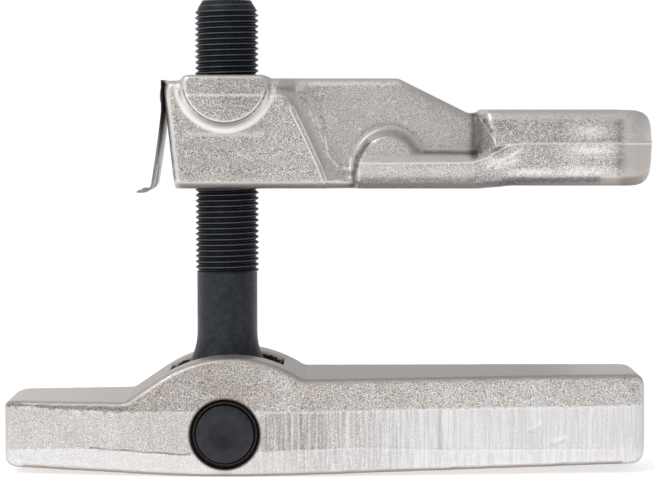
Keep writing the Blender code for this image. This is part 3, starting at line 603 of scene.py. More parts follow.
def score_share(points):
    """Upright scores in the band: close and deep right of the pin, a few single ones beyond."""
    x, z = in_millimetres(points)
    inside = ramp(height_on(BAND_TOP_LINE, x) - z, 0.3, 0.9)
    inside *= ramp(z - height_on(BAND_FOOT_LINE, x), 0.2, 0.8)
    waves = np.zeros(len(x))
    for length, amount, start in SCORE_WAVES:
        waves += amount * (0.5 + 0.5 * np.cos(2 * math.pi * x / length + start))
    run = ramp(x, SCORE_RUN[0], SCORE_RUN[0] + 2) * ramp(-x, -SCORE_RUN[1], 6 - SCORE_RUN[1])
    share = ramp(waves, 0.30, 0.85) * (FAINT_SCORES + (1 - FAINT_SCORES) * run)
    for place, depth in BAND_SCORES:
        stroke = np.exp(-((x - place) / BAND_SCORE_HALF) ** 2)
        share = np.maximum(share, depth * MM / SCORE_DEEP * stroke)
    return share * inside


def side_share(piece):
    """How squarely each point of the skin faces the front or the rear."""
    return ramp(np.abs(normals_of(piece)[:, 1]), *SIDE_FACING)


def under_share(piece):
    return ramp(-normals_of(piece)[:, 2], *UNDER_FACING)


def make_arm():
    """The fork arm's forging: soft all over, with its parting lines, chips and clean holes."""
    arm = copy_of_node("upper_fork_arm", "fork_forging")
    flat_top = arm_high.z - ARM_PLUG_SHORT
    centre = Vector((pin.x, 0, (arm_low.z + flat_top) / 2))
    wide = THREAD_OUTER + RUNNING_GAP
    combine(arm, "UNION", wide + PLUG_OVER, flat_top - arm_low.z, centre)
    seat = Vector((arm_low.x + RIVET_PLUG_MIDDLE, 0, (rivet_low.z + rivet_high.z) / 2))
    combine(arm, "UNION", *RIVET_PLUG, seat, "X", RIVET_HOLE_STEPS)
    soften(arm, ARM_VOXEL, ARM_SOFT_ROUNDS)
    coarse = [ARM_PARTING, ARM_RAIL_PARTING, BOSS_FACE_LINE]
    ridge = [shifted(ARM_RIDGE, -RIDGE_LINE_SPREAD), shifted(ARM_RIDGE, RIDGE_LINE_SPREAD)]
    crease = [boss_arc(BOSS_CREASE)]
    refine_near(arm, coarse + [ARM_RIDGE, ARM_TIP_LINE], ARM_LINE_ZONE)
    refine_near(arm, ridge + CHIPS + [SHOULDER_RIM], FINE_ZONE)
    refine_near(arm, crease + [boss_arc(BOSS_RIM[1])], FINE_ZONE)
    places = places_of(arm)
    turned = ramp(0.9 - np.abs(normals_of(arm)[:, 2]), 0.0, 0.2)
    press(arm, "upper_fork_arm", flare_share(places) * side_share(arm), BOSS_FLARE_HIGH)
    for share, high in ((ridge_of(places, crease, FINE_HALF), -CREASE_DEEP),
                        (ridge_of(places, [SHOULDER_RIM], FINE_HALF), SHOULDER_RIM_HIGH),
                        (spots_of(places, SHOULDER_PITS), -PIT_DEEP),
                        (ridge_of(places, coarse, LINE_HALF), PARTING_HIGH),
                        (ridge_of(places, ridge, FINE_HALF), RIDGE_HIGH),
                        (ridge_of(places, [ARM_TIP_LINE], LINE_HALF), TIP_LINE_HIGH),
                        (ridge_of(places, CHIPS, CHIP_HALF), CHIP_HIGH),
                        (spots_of(places, SPECKS), SPECK_HIGH)):
        press(arm, "upper_fork_arm", share * turned, high)
    combine(arm, "DIFFERENCE", wide, BOLT_CUT_LONG, centre)
    seat = seat - Vector((RIVET_CUT_BACK, 0, 0))
    combine(arm, "DIFFERENCE", *RIVET_CUT, seat, "X", RIVET_HOLE_STEPS)
    paint_arm(arm, coarse, ridge)
    smooth_shade(arm)
    return arm


def boss_arc(radius):
    """The lower half of a circle about the boss."""
    return arc(BOSS_SPOT, radius, 192, 348)


def flare_share(points):
    """The curve that runs out of the boss below and beside it."""
    x, z = in_millimetres(points)
    out = np.hypot(x - BOSS_SPOT[0], z - BOSS_SPOT[1]) - BOSS_RADIUS
    share = np.clip(1 - out / BOSS_FLARE_WIDE, 0, 1) ** 2 * ramp(out, -0.1, 0.5)
    return share * ramp(-z, -114.0, -109.0)


def paint_arm(arm, coarse, ridge):
    """Marks the arm's skin for its finish and for painted light and shade: smooth and calm places,
    painted highlights on lines and bright patches, and painted shade and shadow on the tip, in
    hollows, at the shoulder and along the rail."""
    places = places_of(arm)
    x, z = in_millimetres(places)
    side = side_share(arm)
    web = ramp(x, SMOOTH_WEB[0], SMOOTH_WEB[0] + 2) * (x < SMOOTH_WEB[1])
    web_top = web * ramp(z, SMOOTH_WEB[2] - 0.5, SMOOTH_WEB[2] + 0.3)
    fork_top = (x > SMOOTH_FORK[0]) * ramp(z, SMOOTH_FORK[1] - 0.4, SMOOTH_FORK[1] + 0.4)
    tip = ramp(x, SMOOTH_TIP - 1.5, SMOOTH_TIP + 0.8)
    smooth = np.maximum.reduce([tip, fork_top, web_top])
    for left, right, foot, top in (GRAINY_RAMP, GRAINY_SHOULDER):
        side = np.maximum(side, (x > left) & (x < right) & (z > foot) & (z < top))
    paint(arm, "flat", side * (1 - smooth))
    calm = ramp(x, CALM_WEB[0], CALM_WEB[0] + 3) * ramp(CALM_WEB[1] - x, 0.0, 2.0)
    calm *= ramp(z, ARM_RAIL_PARTING[0][1] - 1.0, ARM_RAIL_PARTING[0][1])
    paint(arm, "calm", calm * ramp(SMOOTH_WEB[2] - z, 0.0, 2.0))
    # The tip's lower half, darkened in the material as painted shade
    paint(arm, "tip_shade", ramp(x, TIP_SHADE[0] - 1.5, TIP_SHADE[0] + 1.5) * ramp(TIP_SHADE[1] - z, 0.0, 0.3))
    # Down-facing skin, darkened in the material as painted shade
    paint(arm, "under", under_share(arm))
    # Raised lines, lightened in the material as painted highlights
    paint(arm, "line", strongest(places, [
        (coarse, LINE_HALF, 0.8), (ridge, FINE_HALF, 1.0),
        ([BOSS_FACE_LINE, SHOULDER_RIM], FINE_HALF, 0.8), (CHIPS, CHIP_HALF, 0.95),
        ([ARM_TIP_LINE], LINE_HALF, 0.3)]))
    # Bright patches, rail, ramp streaks, web top and specks, lightened in the material as painted
    # highlights
    painted_highlight = np.maximum(0.5 * web_top, strongest(places, [
        ([RAIL_HIGHLIGHT], RAIL_HIGHLIGHT_HALF, 0.15), (RAMP_STREAKS, RAMP_STREAK_HALF, 0.8)]))
    for spot_x, spot_z, half_x, half_z in HIGHLIGHT_PATCHES:
        gap = ((x - spot_x) / half_x) ** 2 + ((z - spot_z) / half_z) ** 2
        painted_highlight = np.maximum(painted_highlight, np.exp(-gap))
    paint(arm, "painted_highlight", np.maximum(painted_highlight * side, spots_of(places, SPECKS) * 0.9))
    # Hollows, creases, pits and a darker patch beside the boss, darkened in the material as painted
    # shade
    hollow = strongest(places, [
        ([PAD_HOLLOW], PAD_HOLLOW_HALF, 1.0), ([BOSS_DARK_PATCH], BOSS_DARK_PATCH_HALF, 0.6),
        ([LEDGE_HOLLOW], LEDGE_HALF, 0.8), ([boss_arc(BOSS_CREASE)], CREASE_SHADE_HALF, 0.85),
        ([arc(PAD_SPOT, PAD_OUTLINE, 20, 150)], PAD_OUTLINE_HALF, 0.5)])
    paint(arm, "hollow", np.maximum(hollow, spots_of(places, SHOULDER_PITS)))
    # The shoulder's hollow, darkened in the material as painted shadow
    shadow = strongest(places, [([SHOULDER_HOLLOW], SHOULDER_HALF, 1.25)])
    paint(arm, "shadow", np.minimum(shadow, 1.0))
    # Rail's lower edge and the fork's end, darkened in the material as painted shade
    paint(arm, "shade", strongest(places, [
        ([RAIL_SHADE], SHADE_HALF, 1.0), ([FORK_END_SHADE], SHADE_HALF, 0.6)]))


# Turned pieces

def turn_up(piece, axis, side, steps):
    """Builds on a round piece's end face: each step goes out along the axis to a new radius."""
    direction = Vector((axis == "X", axis == "Y", axis == "Z")) * side
    normals = read_vectors(piece.data.polygons, "normal")
    middles = read_vectors(piece.data.polygons, "center")
    out = np.array(direction)
    picked = (normals @ out > 0.99) & (middles @ out > (middles @ out).max() - 0.01 * MM)
    select_where(piece, "polygons", picked)
    end = Vector(middles[picked][0])
    radius = steps[0]
    for advance, new_radius in steps[1:]:
        bpy.ops.mesh.extrude_region_move(TRANSFORM_OT_translate={"value": direction * advance})
        end = end + direction * advance
        ratio = new_radius / radius
        grow = tuple(1.0 if letter == axis else ratio for letter in "XYZ")
        bpy.ops.transform.resize(value=grow, center_override=end)
        radius = new_radius
    set_mode("OBJECT")


def upright_edges(piece, shortest):
    ends = [[piece.data.vertices[i].co.z for i in edge.vertices] for edge in piece.data.edges]
    return [abs(low - high) > shortest for low, high in ends]


def thread_radius(height, turn):
    """Radius of the right-hand thread at a height and an angle round the bolt, and its share of
    the way from core to crest."""
    along = (height - THREAD_FOOT) / THREAD_PITCH - turn / (2 * math.pi)
    phase = 1 - abs((along % 1.0) - 0.5) * 2
    share = max(0.0, min(1.0, (phase - THREAD_FLAT / 2) / (1 - THREAD_FLAT)))
    return THREAD_CORE + (THREAD_OUTER - THREAD_CORE) * share, share


def rod_radius(place):
    """Radius of the rod at a point: plain shank, then thread, then the chamfer at the top."""
    turn = math.atan2(place.y - pin.y, place.x - pin.x)
    fade = max(0.0, min(1.0, (place.z - THREAD_FOOT) / THREAD_RUNOUT))
    radius = SHANK_RADIUS + (thread_radius(place.z, turn)[0] - SHANK_RADIUS) * fade
    below_top = bolt_high.z - place.z
    reach = THREAD_OUTER - BOLT_CHAMFER * max(0.0, 1 - below_top / BOLT_CHAMFER_TALL)
    return min(radius, reach)


def make_bolt():
    """The forged eye, cut off at its shank, with a finely divided rod bridged on to it."""
    bolt = copy_of_node("eye_bolt", "bolt_threaded")
    set_mode("EDIT")
    bpy.ops.mesh.select_all(action="SELECT")
    bpy.ops.mesh.bisect(plane_co=(0, 0, BOLT_CUT), plane_no=(0, 0, 1), clear_outer=True)
    set_mode("OBJECT")
    start = BOLT_CUT + BOLT_BRIDGE
    bpy.ops.object.select_all(action="DESELECT")
    bpy.ops.mesh.primitive_cylinder_add(vertices=ROD_COLUMNS, radius=ROD_START_RADIUS,
                                        depth=bolt_high.z - start, end_fill_type="NOTHING",
                                        location=(pin.x, 0, (start + bolt_high.z) / 2))
    rod = bpy.context.active_object
    bpy.ops.object.transform_apply(location=True, rotation=True, scale=True)
    whole = bolt_high.z - start
    for cuts, length in ((ROD_FIRST_CUTS, whole), (ROD_SECOND_CUTS, whole / (ROD_FIRST_CUTS + 1))):
        select_where(rod, "edges", upright_edges(rod, length / 2))
        bpy.ops.mesh.subdivide(number_cuts=cuts)
        set_mode("OBJECT")
    deep = THREAD_OUTER - ROD_START_RADIUS
    radii = np.array([rod_radius(vertex.co) for vertex in rod.data.vertices])
    displace(rod, (radii - ROD_START_RADIUS) / deep, deep)
    places = places_of(rod)
    select_where(rod, "vertices", places[:, 2] > bolt_high.z - 0.01 * MM)
    bpy.ops.mesh.edge_face_add()
    bpy.ops.mesh.inset(thickness=BOLT_END_RIM)
    bpy.ops.mesh.inset(thickness=BOLT_END_FACED, depth=-FACING_DEEP)
    set_mode("OBJECT")
    select_only(bolt, rod)
    bpy.ops.object.join()
    set_mode("EDIT")
    bpy.ops.mesh.select_mode(type="EDGE")
    bpy.ops.mesh.select_all(action="DESELECT")
    bpy.ops.mesh.select_non_manifold()
    bpy.ops.mesh.bridge_edge_loops()
    bpy.ops.mesh.select_all(action="SELECT")
    bpy.ops.mesh.normals_make_consistent(inside=False)
    set_mode("OBJECT")
    crests = []
    for x, y, z in places_of(bolt):
        share = thread_radius(z, math.atan2(y - pin.y, x - pin.x))[1]
        crests.append(share if z > THREAD_FOOT + THREAD_RUNOUT else 0.0)
    paint(bolt, "crest", crests)
    smooth_shade(bolt, 60)
    return bolt


def make_pin():
    """The pivot pin: turned body, ring grooves, soft chamfers and a faced end with a centre mark."""
    half = (pin_high.y - pin_low.y) / 2
    groove_in = half - RING_GROOVE_OUT - RING_GROOVE_WIDE
    piece = cylinder("pin_turned", PIN_RADIUS, groove_in * 2, (pin.x, 0, pin.z), "Y")
    narrow = PIN_RADIUS - RING_GROOVE_DEEP
    steps = [PIN_RADIUS, (0, narrow), (RING_GROOVE_WIDE, narrow), (0, PIN_RADIUS),
             (RING_GROOVE_OUT - PIN_CHAMFER, PIN_RADIUS),
             (PIN_CHAMFER * 0.6, PIN_RADIUS - PIN_CHAMFER * 0.25),
             (PIN_CHAMFER * 0.4, PIN_RADIUS - PIN_CHAMFER), (0, PIN_FACED[0]),
             (-FACING_DEEP, PIN_FACED[1]), (0, PIN_CENTRE[0]), (-PIN_CENTRE_DEEP, PIN_CENTRE[1])]
    for side in (-1, 1):
        turn_up(piece, "Y", side, steps)
    smooth_shade(piece, 30)
    return piece


def make_rivet():
    """The drive rivet that holds the spring, with its low domed head."""
    head = (rivet_high.z - rivet_low.z) / 2
    length = rivet_high.x - rivet_low.x - RIVET_HEAD_HIGH
    centre = (rivet_high.x - length / 2, 0, (rivet_low.z + rivet_high.z) / 2)
    piece = cylinder("rivet_domed", RIVET_SHANK, length, centre, "X", RIVET_STEPS)
    steps = [RIVET_SHANK, (0, head * RIVET_BRIM_SHARE), (RIVET_BRIM, head)]
    past = RIVET_BRIM
    for i in range(1, RIVET_DOME_STEPS + 1):
        turn = math.pi / 2 * i / RIVET_DOME_STEPS
        place = RIVET_BRIM + (RIVET_HEAD_HIGH - RIVET_BRIM) * math.sin(turn)
        steps.append((place - past, max(head * math.cos(turn), RIVET_CROWN)))
        past = place
    turn_up(piece, "X", -1, steps)
    smooth_shade(piece, 50)
    return piece


def make_spring():
    """The leaf spring with its sheared edges eased."""
    piece = copy_of_node("leaf_spring", "spring_forked")
    apply_modifier(piece, "BEVEL", width=SPRING_EDGE, segments=2, limit_method="ANGLE",
                   angle_limit=math.radians(50), use_clamp_overlap=True)
    smooth_shade(piece, 35)
    return piece


# Finishes

class Tree:
    """A small hand for wiring nodes."""

    def __init__(self, tree):
        self.nodes = tree.nodes
        self.links = tree.links

    def give(self, socket, value):
        """Links a socket to another one, or sets its own value."""
        if isinstance(value, bpy.types.NodeSocket):
            self.links.new(value, socket)
        else:
            socket.default_value = value

    def feed(self, node, **inputs):
        for name, value in inputs.items():
            self.give(node.inputs[name.replace("_", " ")], value)

    def add(self, kind, **inputs):
        node = self.nodes.new(kind)
        self.feed(node, **inputs)
        return node

    def make(self, kind, values, **settings):
        """A node with these settings, and with these values in its first sockets."""
        node = self.nodes.new(kind)
        for name, value in settings.items():
            setattr(node, name, value)
        for socket, value in zip(node.inputs, values):
            self.give(socket, value)
        return node

    def math(self, operation, *values, clamp=False):
        node = self.make("ShaderNodeMath", values, operation=operation, use_clamp=clamp)
        return node.outputs[0]

    def times(self, first, second, clamp=False):
        return self.math("MULTIPLY", first, second, clamp=clamp)

    def scaled(self, value, factor, offset):
        return self.math("MULTIPLY_ADD", value, factor, offset)

    def vector(self, operation, *values):
        node = self.make("ShaderNodeVectorMath", values, operation=operation)
        return node.outputs["Value" if operation == "LENGTH" else "Vector"]

    def span(self, value, low, high, to_low=0.0, to_high=1.0):
        """A soft step from one level to another as the value goes from low to high."""
        values = (value, low, high, to_low, to_high)
        node = self.make("ShaderNodeMapRange", values, interpolation_type="SMOOTHSTEP")
        return node.outputs[0]

    def blend(self, factor, first, second, kind="MIX"):
        node = self.make("ShaderNodeMix", (factor,), data_type="RGBA", blend_type=kind)
        colours = [socket for socket in node.inputs if socket.type == "RGBA"]
        for socket, value in zip(colours, (first, second)):
            self.give(socket, value)
        return [socket for socket in node.outputs if socket.type == "RGBA"][0]

    def noise(self, coords, scale, detail=2.0, roughness=0.5):
        node = self.add("ShaderNodeTexNoise", Vector=coords, Scale=scale, Detail=detail,
                        Roughness=roughness)
        return node.outputs["Fac"]

    def along(self, coords, letter):
        """One coordinate of these, by its letter."""
        return self.add("ShaderNodeSeparateXYZ", Vector=coords).outputs[letter]


def new_group(name, inputs, outputs):
    """A shader node group with named sockets; returns it with a hand and its two ends."""
    group = bpy.data.node_groups.new(name, "ShaderNodeTree")
    for side, sockets in (("INPUT", inputs), ("OUTPUT", outputs)):
        for label, kind in sockets:
            group.interface.new_socket(label, in_out=side, socket_type=f"NodeSocket{kind}")
    hand = Tree(group)
    return group, hand, hand.nodes.new("NodeGroupInput").outputs, hand.nodes.new("NodeGroupOutput")


def blasted_grain_group():
    """Grain of a tumbled forging: fine pits, coarser mottling and wide patches."""
    group, hand, given, out = new_group(
        "blasted_grain", [("Vector", "Vector"), ("Grain Scale", "Float")],
        [("Grain", "Float"), ("Mottle", "Float"), ("Patch", "Float")])
    scale = given["Grain Scale"]
    fine = hand.noise(given["Vector"], scale, 1.5, 0.6)
    coarse = hand.noise(given["Vector"], hand.times(scale, 0.37), 1.0)
    patch = hand.noise(given["Vector"], hand.times(scale, 0.028), 2.0)
    hand.feed(out, Grain=hand.span(fine, 0.35, 0.65), Mottle=hand.span(coarse, 0.30, 0.70),
              Patch=hand.span(patch, 0.32, 0.68))
    return group


def ring_mask_group():
    """A soft-edged ring about a centre, seen along Y, or a disc if its inner radius is below 0."""
    group, hand, given, out = new_group(
        "ring_mask", [("Vector", "Vector"), ("Centre", "Vector"), ("Inner", "Float"),
                      ("Outer", "Float"), ("Soft", "Float")], [("Mask", "Float")])
    apart = hand.vector("SUBTRACT", given["Vector"], given["Centre"])
    reach = hand.vector("LENGTH", hand.vector("MULTIPLY", apart, (1, 0, 1)))
    inside = hand.span(reach, given["Inner"], hand.math("ADD", given["Inner"], given["Soft"]))
    edge = hand.math("SUBTRACT", given["Outer"], given["Soft"])
    hand.feed(out, Mask=hand.times(inside, hand.span(reach, edge, given["Outer"], 1.0, 0.0)))
    return group


def new_material(name):
    """A material with its hand, its shader and the piece's own coordinates."""
    material = bpy.data.materials.new(name)
    material.use_nodes = True
    hand = Tree(material.node_tree)
    coords = hand.nodes.new("ShaderNodeTexCoord").outputs["Object"]
    return material, hand, hand.nodes["Principled BSDF"], coords


def use_group(hand, group, **inputs):
    node = hand.nodes.new("ShaderNodeGroup")
    node.node_tree = group
    hand.feed(node, **inputs)
    return node.outputs


def disc(hand, coords, inner, outer):
    """A disc about the pin, solid out to one radius and gone at the other."""
    return use_group(hand, ring_mask, Vector=coords, Centre=tuple(pin), Inner=-outer, Outer=outer,
                     Soft=outer - inner)["Mask"]


def give_bump(hand, shader, height, distance, strength=1.0):
    bump = hand.add("ShaderNodeBump", Height=height, Distance=distance, Strength=strength)
    hand.feed(shader, Normal=bump.outputs["Normal"])


def mark(hand, name):
    """A value that was painted on the piece."""
    node = hand.nodes.new("ShaderNodeAttribute")
    node.attribute_name = name
    return node.outputs["Fac"]


def grey(level, warm=0.02):
    """A steel colour at this level, a little warmer than neutral."""
    return (level, level * (1 - warm), level * (1 - 1.7 * warm), 1)


def tint(hand, colour, amount, shade):
    """The colour multiplied by a shade, where and as much as the amount says."""
    return hand.blend(amount, colour, hand.blend(1.0, colour, shade, "MULTIPLY"))


def cover(hand, colour, amount, share, over):
    """The colour covered by another, where the amount says and up to this share."""
    return hand.blend(hand.times(amount, share), colour, over)


def forged_base(name, satin_level, edge_highlight_share):
    """Blasted forging: grainy on its broad faces, smooth and tan on its rounded edges, with painted
    shade in creases and on down-facing skin and a painted highlight on sharp edges.
    """
    material, hand, shader, coords = new_material(name)
    grain = use_group(hand, blasted, Vector=coords, Grain_Scale=FORGED_GRAIN)
    flat = mark(hand, "flat")
    grainy = hand.blend(grain["Grain"], grey(0.27, 0.035), grey(0.97, 0.02))
    grainy = tint(hand, grainy, 1.0, hand.blend(grain["Mottle"], grey(0.80), grey(1.06)))
    grainy = tint(hand, grainy, 1.0, hand.blend(grain["Patch"], grey(0.93), grey(1.05, 0.0)))
    satin = hand.blend(grain["Mottle"], grey(satin_level, 0.04), grey(satin_level + 0.08, 0.04))
    colour = hand.blend(flat, satin, grainy)
    point = hand.nodes.new("ShaderNodeNewGeometry").outputs["Pointiness"]
    # Painted shade: brown in concave creases, found by pointiness
    colour = cover(hand, colour, hand.span(point, 0.455, 0.492, 1.0, 0.0), 0.8, CREASE_SHADE_BROWN)
    # Painted highlight: a pale line on sharp convex edges
    colour = cover(hand, colour, hand.span(point, 0.508, 0.54), edge_highlight_share, grey(0.92))
    # Painted shade on down-facing skin
    colour = tint(hand, colour, mark(hand, "under"), UNDER_SHADE)
    hand.feed(shader, Metallic=0.88, Roughness=hand.scaled(grain["Mottle"], 0.16, 0.34))
    height = hand.times(grain["Grain"], hand.scaled(flat, 0.9, 0.1))
    give_bump(hand, shader, height, FORGED_BUMP)
    return material, hand, shader, coords, grain, colour


def fork_material():
    """The fork arm: painted highlights on its parting lines, bright patches and boss rings, a calm
    web, and painted shade and shadow, brown and slate, in its hollows, at its shoulder and tip and
    along its rail."""
    material, hand, shader, coords, grain, colour = forged_base("forged_fork", 0.80, 0.5)
    colour = cover(hand, colour, mark(hand, "calm"), 0.45, grey(0.61, 0.02))
    ragged = hand.scaled(grain["Mottle"], 0.8, 0.55)
    shade, painted_highlight, hollow = (hand.times(mark(hand, name), ragged, clamp=True)
                             for name in ("shade", "painted_highlight", "hollow"))
    # Painted shade in slate along the rail's lower edge and at the fork's end, like a dark reflection
    colour = tint(hand, colour, shade, RAIL_SHADE_SLATE)
    # Painted shade on the lower half of the fork's tip
    colour = tint(hand, colour, mark(hand, "tip_shade"), grey(0.64, 0.02))
    # Painted highlights: bright patches, the rail, the ramp's streaks, the web's top and the raised
    # specks
    colour = cover(hand, colour, painted_highlight, 0.92, grey(1.0, 0.0))
    # Painted shade in hollows, creases and pits, and a darker patch beside the boss
    colour = cover(hand, colour, hollow, 0.85, HOLLOW_SHADE_BROWN)
    # Painted shadow in the shoulder's hollow
    colour = cover(hand, colour, mark(hand, "shadow"), 0.86, SHOULDER_SHADOW_BROWN)
    # Painted highlight along the raised parting lines, ridge, rims and chips
    colour = cover(hand, colour, mark(hand, "line"), 0.75, grey(0.97))
    # Painted highlight: near-white rings round the boss, fading above the band's top
    foot = pin.z + BOSS_BAND_TOP * MM
    low = hand.span(hand.along(coords, "Z"), foot, foot + 2.5 * MM, 1.0, 0.0)
    centre = (pin.x + BOSS_SPOT[0] * MM, 0, pin.z + BOSS_SPOT[1] * MM)
    for (inner, outer), soft, share in ((BOSS_RIM, 0.4, 0.55), (BOSS_BAND, 0.9, 0.8)):
        ring = use_group(hand, ring_mask, Vector=coords, Centre=centre, Inner=inner * MM,
                         Outer=outer * MM, Soft=soft * MM)["Mask"]
        colour = cover(hand, colour, hand.times(ring, low), share, grey(0.99, 0.01))
    hand.feed(shader, Base_Color=colour)
    return material


def lever_material():
    """The lever: dull above its trimmed band, bright on it and paler below it, partly its own steel
    and partly painted reflection; painted light and shade along its length, on its top and rounded
    edges; darker on the rolled edge at its left end; brown round the ring seat; painted shadow, black,
    in its slot."""
    material, hand, shader, coords, grain, colour = forged_base("forged_lever", 0.68, 0.12)
    lengthwise = hand.along(coords, "X")

    def between(start, end, first=0.0, last=1.0):
        """A soft change along the lever, between places in millimetres from the pin."""
        return hand.span(lengthwise, pin.x + start * MM, pin.x + end * MM, first, last)

    flat, roof = mark(hand, "flat"), mark(hand, "top")
    torn = hand.noise(coords, TORN_EDGE, 3.0, 0.6)
    stray = hand.scaled(grain["Mottle"], 0.14, hand.scaled(torn, 0.9, -0.52))
    above = hand.math("ADD", mark(hand, "above"), stray)
    below = hand.math("ADD", mark(hand, "below"), stray)
    topside = hand.span(above, 0.47, 0.54)
    # Painted light: the skin above the band grows lighter towards the right
    tone = hand.blend(between(0, 24), grey(0.92), grey(1.16, 0.01))
    tone = hand.blend(between(40, 100), tone, grey(1.34, 0.0))
    colour = tint(hand, colour, hand.times(topside, flat), tone)
    # Painted shade on the rounded edges below the top
    edge = hand.math("SUBTRACT", hand.math("SUBTRACT", 1.0, flat), roof, clamp=True)
    colour = tint(hand, colour, edge, grey(0.90, 0.02))
    # Painted light: the top face lighter at the left end and again at the right end
    left = (lever_low.x - pin.x) / MM
    tone = hand.blend(between(left, 30), grey(1.40, 0.015), grey(0.91, 0.03))
    tone = hand.blend(between(100, 126), tone, grey(1.22, 0.0))
    colour = tint(hand, colour, roof, tone)
    # A darker strip on the rolled edge at the left end
    near = hand.times(topside, hand.span(above, 0.58, 1.0, 0.9, 0.55))
    colour = tint(hand, colour, hand.times(near, mark(hand, "left_edge_dark")), LEFT_EDGE_DARK)
    band = hand.times(hand.math("SUBTRACT", 1.0, topside), flat)
    colour = cover(hand, colour, band, hand.scaled(between(25, 75), 0.50, 0.34), TRIMMED_STEEL)
    worn = hand.times(between(-5, 12, 0.14, 0.85), between(35, 85, 1.0, 0.45))
    stretched = hand.add("ShaderNodeMapping", Vector=coords, Scale=(1.0, 0.05, 0.05)).outputs[0]
    streak = hand.span(hand.noise(stretched, SCORE_STREAK_GRAIN, 3.0, 0.6), 0.42, 0.60)
    colour = tint(hand, colour, hand.times(band, worn), hand.blend(streak, *SCORE_STREAKS))
    # The pale foot below the band: its own paler steel, and a painted reflection of the floor, fading
    # towards the right
    lower = hand.times(hand.span(below, 0.47, 0.54), flat)
    colour = cover(hand, colour, lower, between(0, 60, 0.45, 0.04), FOOT_STEEL_AND_SHEEN)
    # Painted shade in the flash line and the scores, and darker spots on the right end
    colour = tint(hand, colour, mark(hand, "hollow"), SCORE_SHADE)
    # Painted highlights along the band's edges, ridges and dents
    colour = cover(hand, colour, mark(hand, "line"), 0.7, grey(0.99, 0.0))
    # Painted shadow: the slot's inside turns near black
    uneven = hand.scaled(grain["Mottle"], 0.4, hand.scaled(torn, 0.8, -0.6))
    inside = hand.span(hand.math("ADD", mark(hand, "slot"), uneven), 0.40, 0.62, 0.0, 0.95)
    colour = hand.blend(inside, colour, SLOT_SHADOW_BLACK)
    ring = disc(hand, coords, RING_SEAT_RADIUS + 0.05 * MM, RING_SEAT_RADIUS + 0.8 * MM)
    hand.feed(shader, Base_Color=cover(hand, colour, ring, 0.85, SEAT_BROWN))
    return material


def black_material(name, blacks, roughness, metallic, crest=0.0):
    """Black oxide with a little mottling, and where asked, painted shade over the thread and thin
    painted highlights on its crests.
    """
    material, hand, shader, coords = new_material(name)
    grain = use_group(hand, blasted, Vector=coords, Grain_Scale=OXIDE_GRAIN)
    colour = hand.blend(grain["Mottle"], *blacks)
    if crest:
        # Painted shade over the threaded part
        threaded = hand.span(hand.along(coords, "Z"), THREAD_FOOT, THREAD_FOOT + THREAD_RUNOUT)
        colour = tint(hand, colour, threaded, grey(0.70, 0.0))
        # Painted highlight: thin slate lines on the thread's crests
        colour = cover(hand, colour, hand.span(mark(hand, "crest"), 0.80, 1.0), crest, CREST_HIGHLIGHT_SLATE)
    rough = hand.scaled(grain["Patch"], 0.12, roughness)
    hand.feed(shader, Base_Color=colour, Metallic=metallic, Roughness=rough)
    give_bump(hand, shader, grain["Grain"], OXIDE_BUMP)
    return material


def pin_material():
    """Faced and blued pin end: nearly black, darker in its middle, with fine turning rings."""
    material, hand, shader, coords = new_material("pin_blued")
    grain = use_group(hand, blasted, Vector=coords, Grain_Scale=PIN_GRAIN)
    colour = hand.blend(grain["Mottle"], *PIN_BLACKS)
    colour = cover(hand, colour, disc(hand, coords, 4.3 * MM, 5.4 * MM), 0.55, PIN_MIDDLE_BLACK)
    hand.feed(shader, Base_Color=colour, Metallic=0.45, Roughness=0.40)
    centred = hand.add("ShaderNodeMapping", Vector=coords, Location=(-pin.x, 0, -pin.z)).outputs[0]
    rings = hand.add("ShaderNodeTexWave", Vector=centred, Scale=TURNING_RINGS, Distortion=0.6)
    rings.wave_type = "RINGS"
    rings.rings_direction = "Y"
    give_bump(hand, shader, rings.outputs["Fac"], OXIDE_BUMP, 0.6)
    return material


def spring_material():
    """Blued spring steel, nearly black at the top under painted shadow and greyer towards its free end
    with painted light.
    """
    material, hand, shader, coords = new_material("spring_steel")
    grain = use_group(hand, blasted, Vector=coords, Grain_Scale=SPRING_GRAIN)
    # Painted shadow near black at the top, and painted light greyer towards the free end
    wavering = hand.scaled(grain["Patch"], 4.0 * MM, hand.along(coords, "Z"))
    lit_share = hand.span(wavering, spring_high.z - 21 * MM, spring_high.z - 7 * MM, 1.0, 0.0)
    colour = hand.blend(lit_share, SPRING_SHADOW_BLACK, SPRING_LIT_GREY)
    colour = tint(hand, colour, 1.0, hand.blend(grain["Mottle"], *SPRING_STREAKS))
    rough = hand.scaled(grain["Patch"], 0.14, 0.26)
    hand.feed(shader, Base_Color=colour, Metallic=0.85, Roughness=rough)
    give_bump(hand, shader, grain["Grain"], SPRING_BUMP)
    return material


# Stage

def make_stage():
    """A white floor whose front edge lies before the object, as a table's does."""
    bpy.ops.object.select_all(action="DESELECT")
    bpy.ops.mesh.primitive_plane_add(size=1, location=(0, FLOOR_LONG / 2 - FLOOR_FRONT, 0))
    floor = bpy.context.active_object
    floor.name = "floor"
    floor.scale = (FLOOR_WIDE, FLOOR_LONG, 1)
    bpy.ops.object.transform_apply(location=True, rotation=True, scale=True)
    material = bpy.data.materials.new("floor_white")
    material.use_nodes = True
    hand = Tree(material.node_tree)
    hand.nodes.remove(hand.nodes["Principled BSDF"])
    matte = hand.add("ShaderNodeBsdfDiffuse", Color=(0.9, 0.9, 0.9, 1))
    path = hand.nodes.new("ShaderNodeLightPath").outputs
    seen = hand.math("MAXIMUM", path["Is Camera Ray"], path["Is Glossy Ray"])
    glow = hand.add("ShaderNodeEmission", Strength=hand.times(seen, FLOOR_GLOW))
    both = hand.make("ShaderNodeAddShader", (matte.outputs[0], glow.outputs[0]))
    hand.feed(hand.nodes["Material Output"], Surface=both.outputs[0])
    floor.data.materials.append(material)


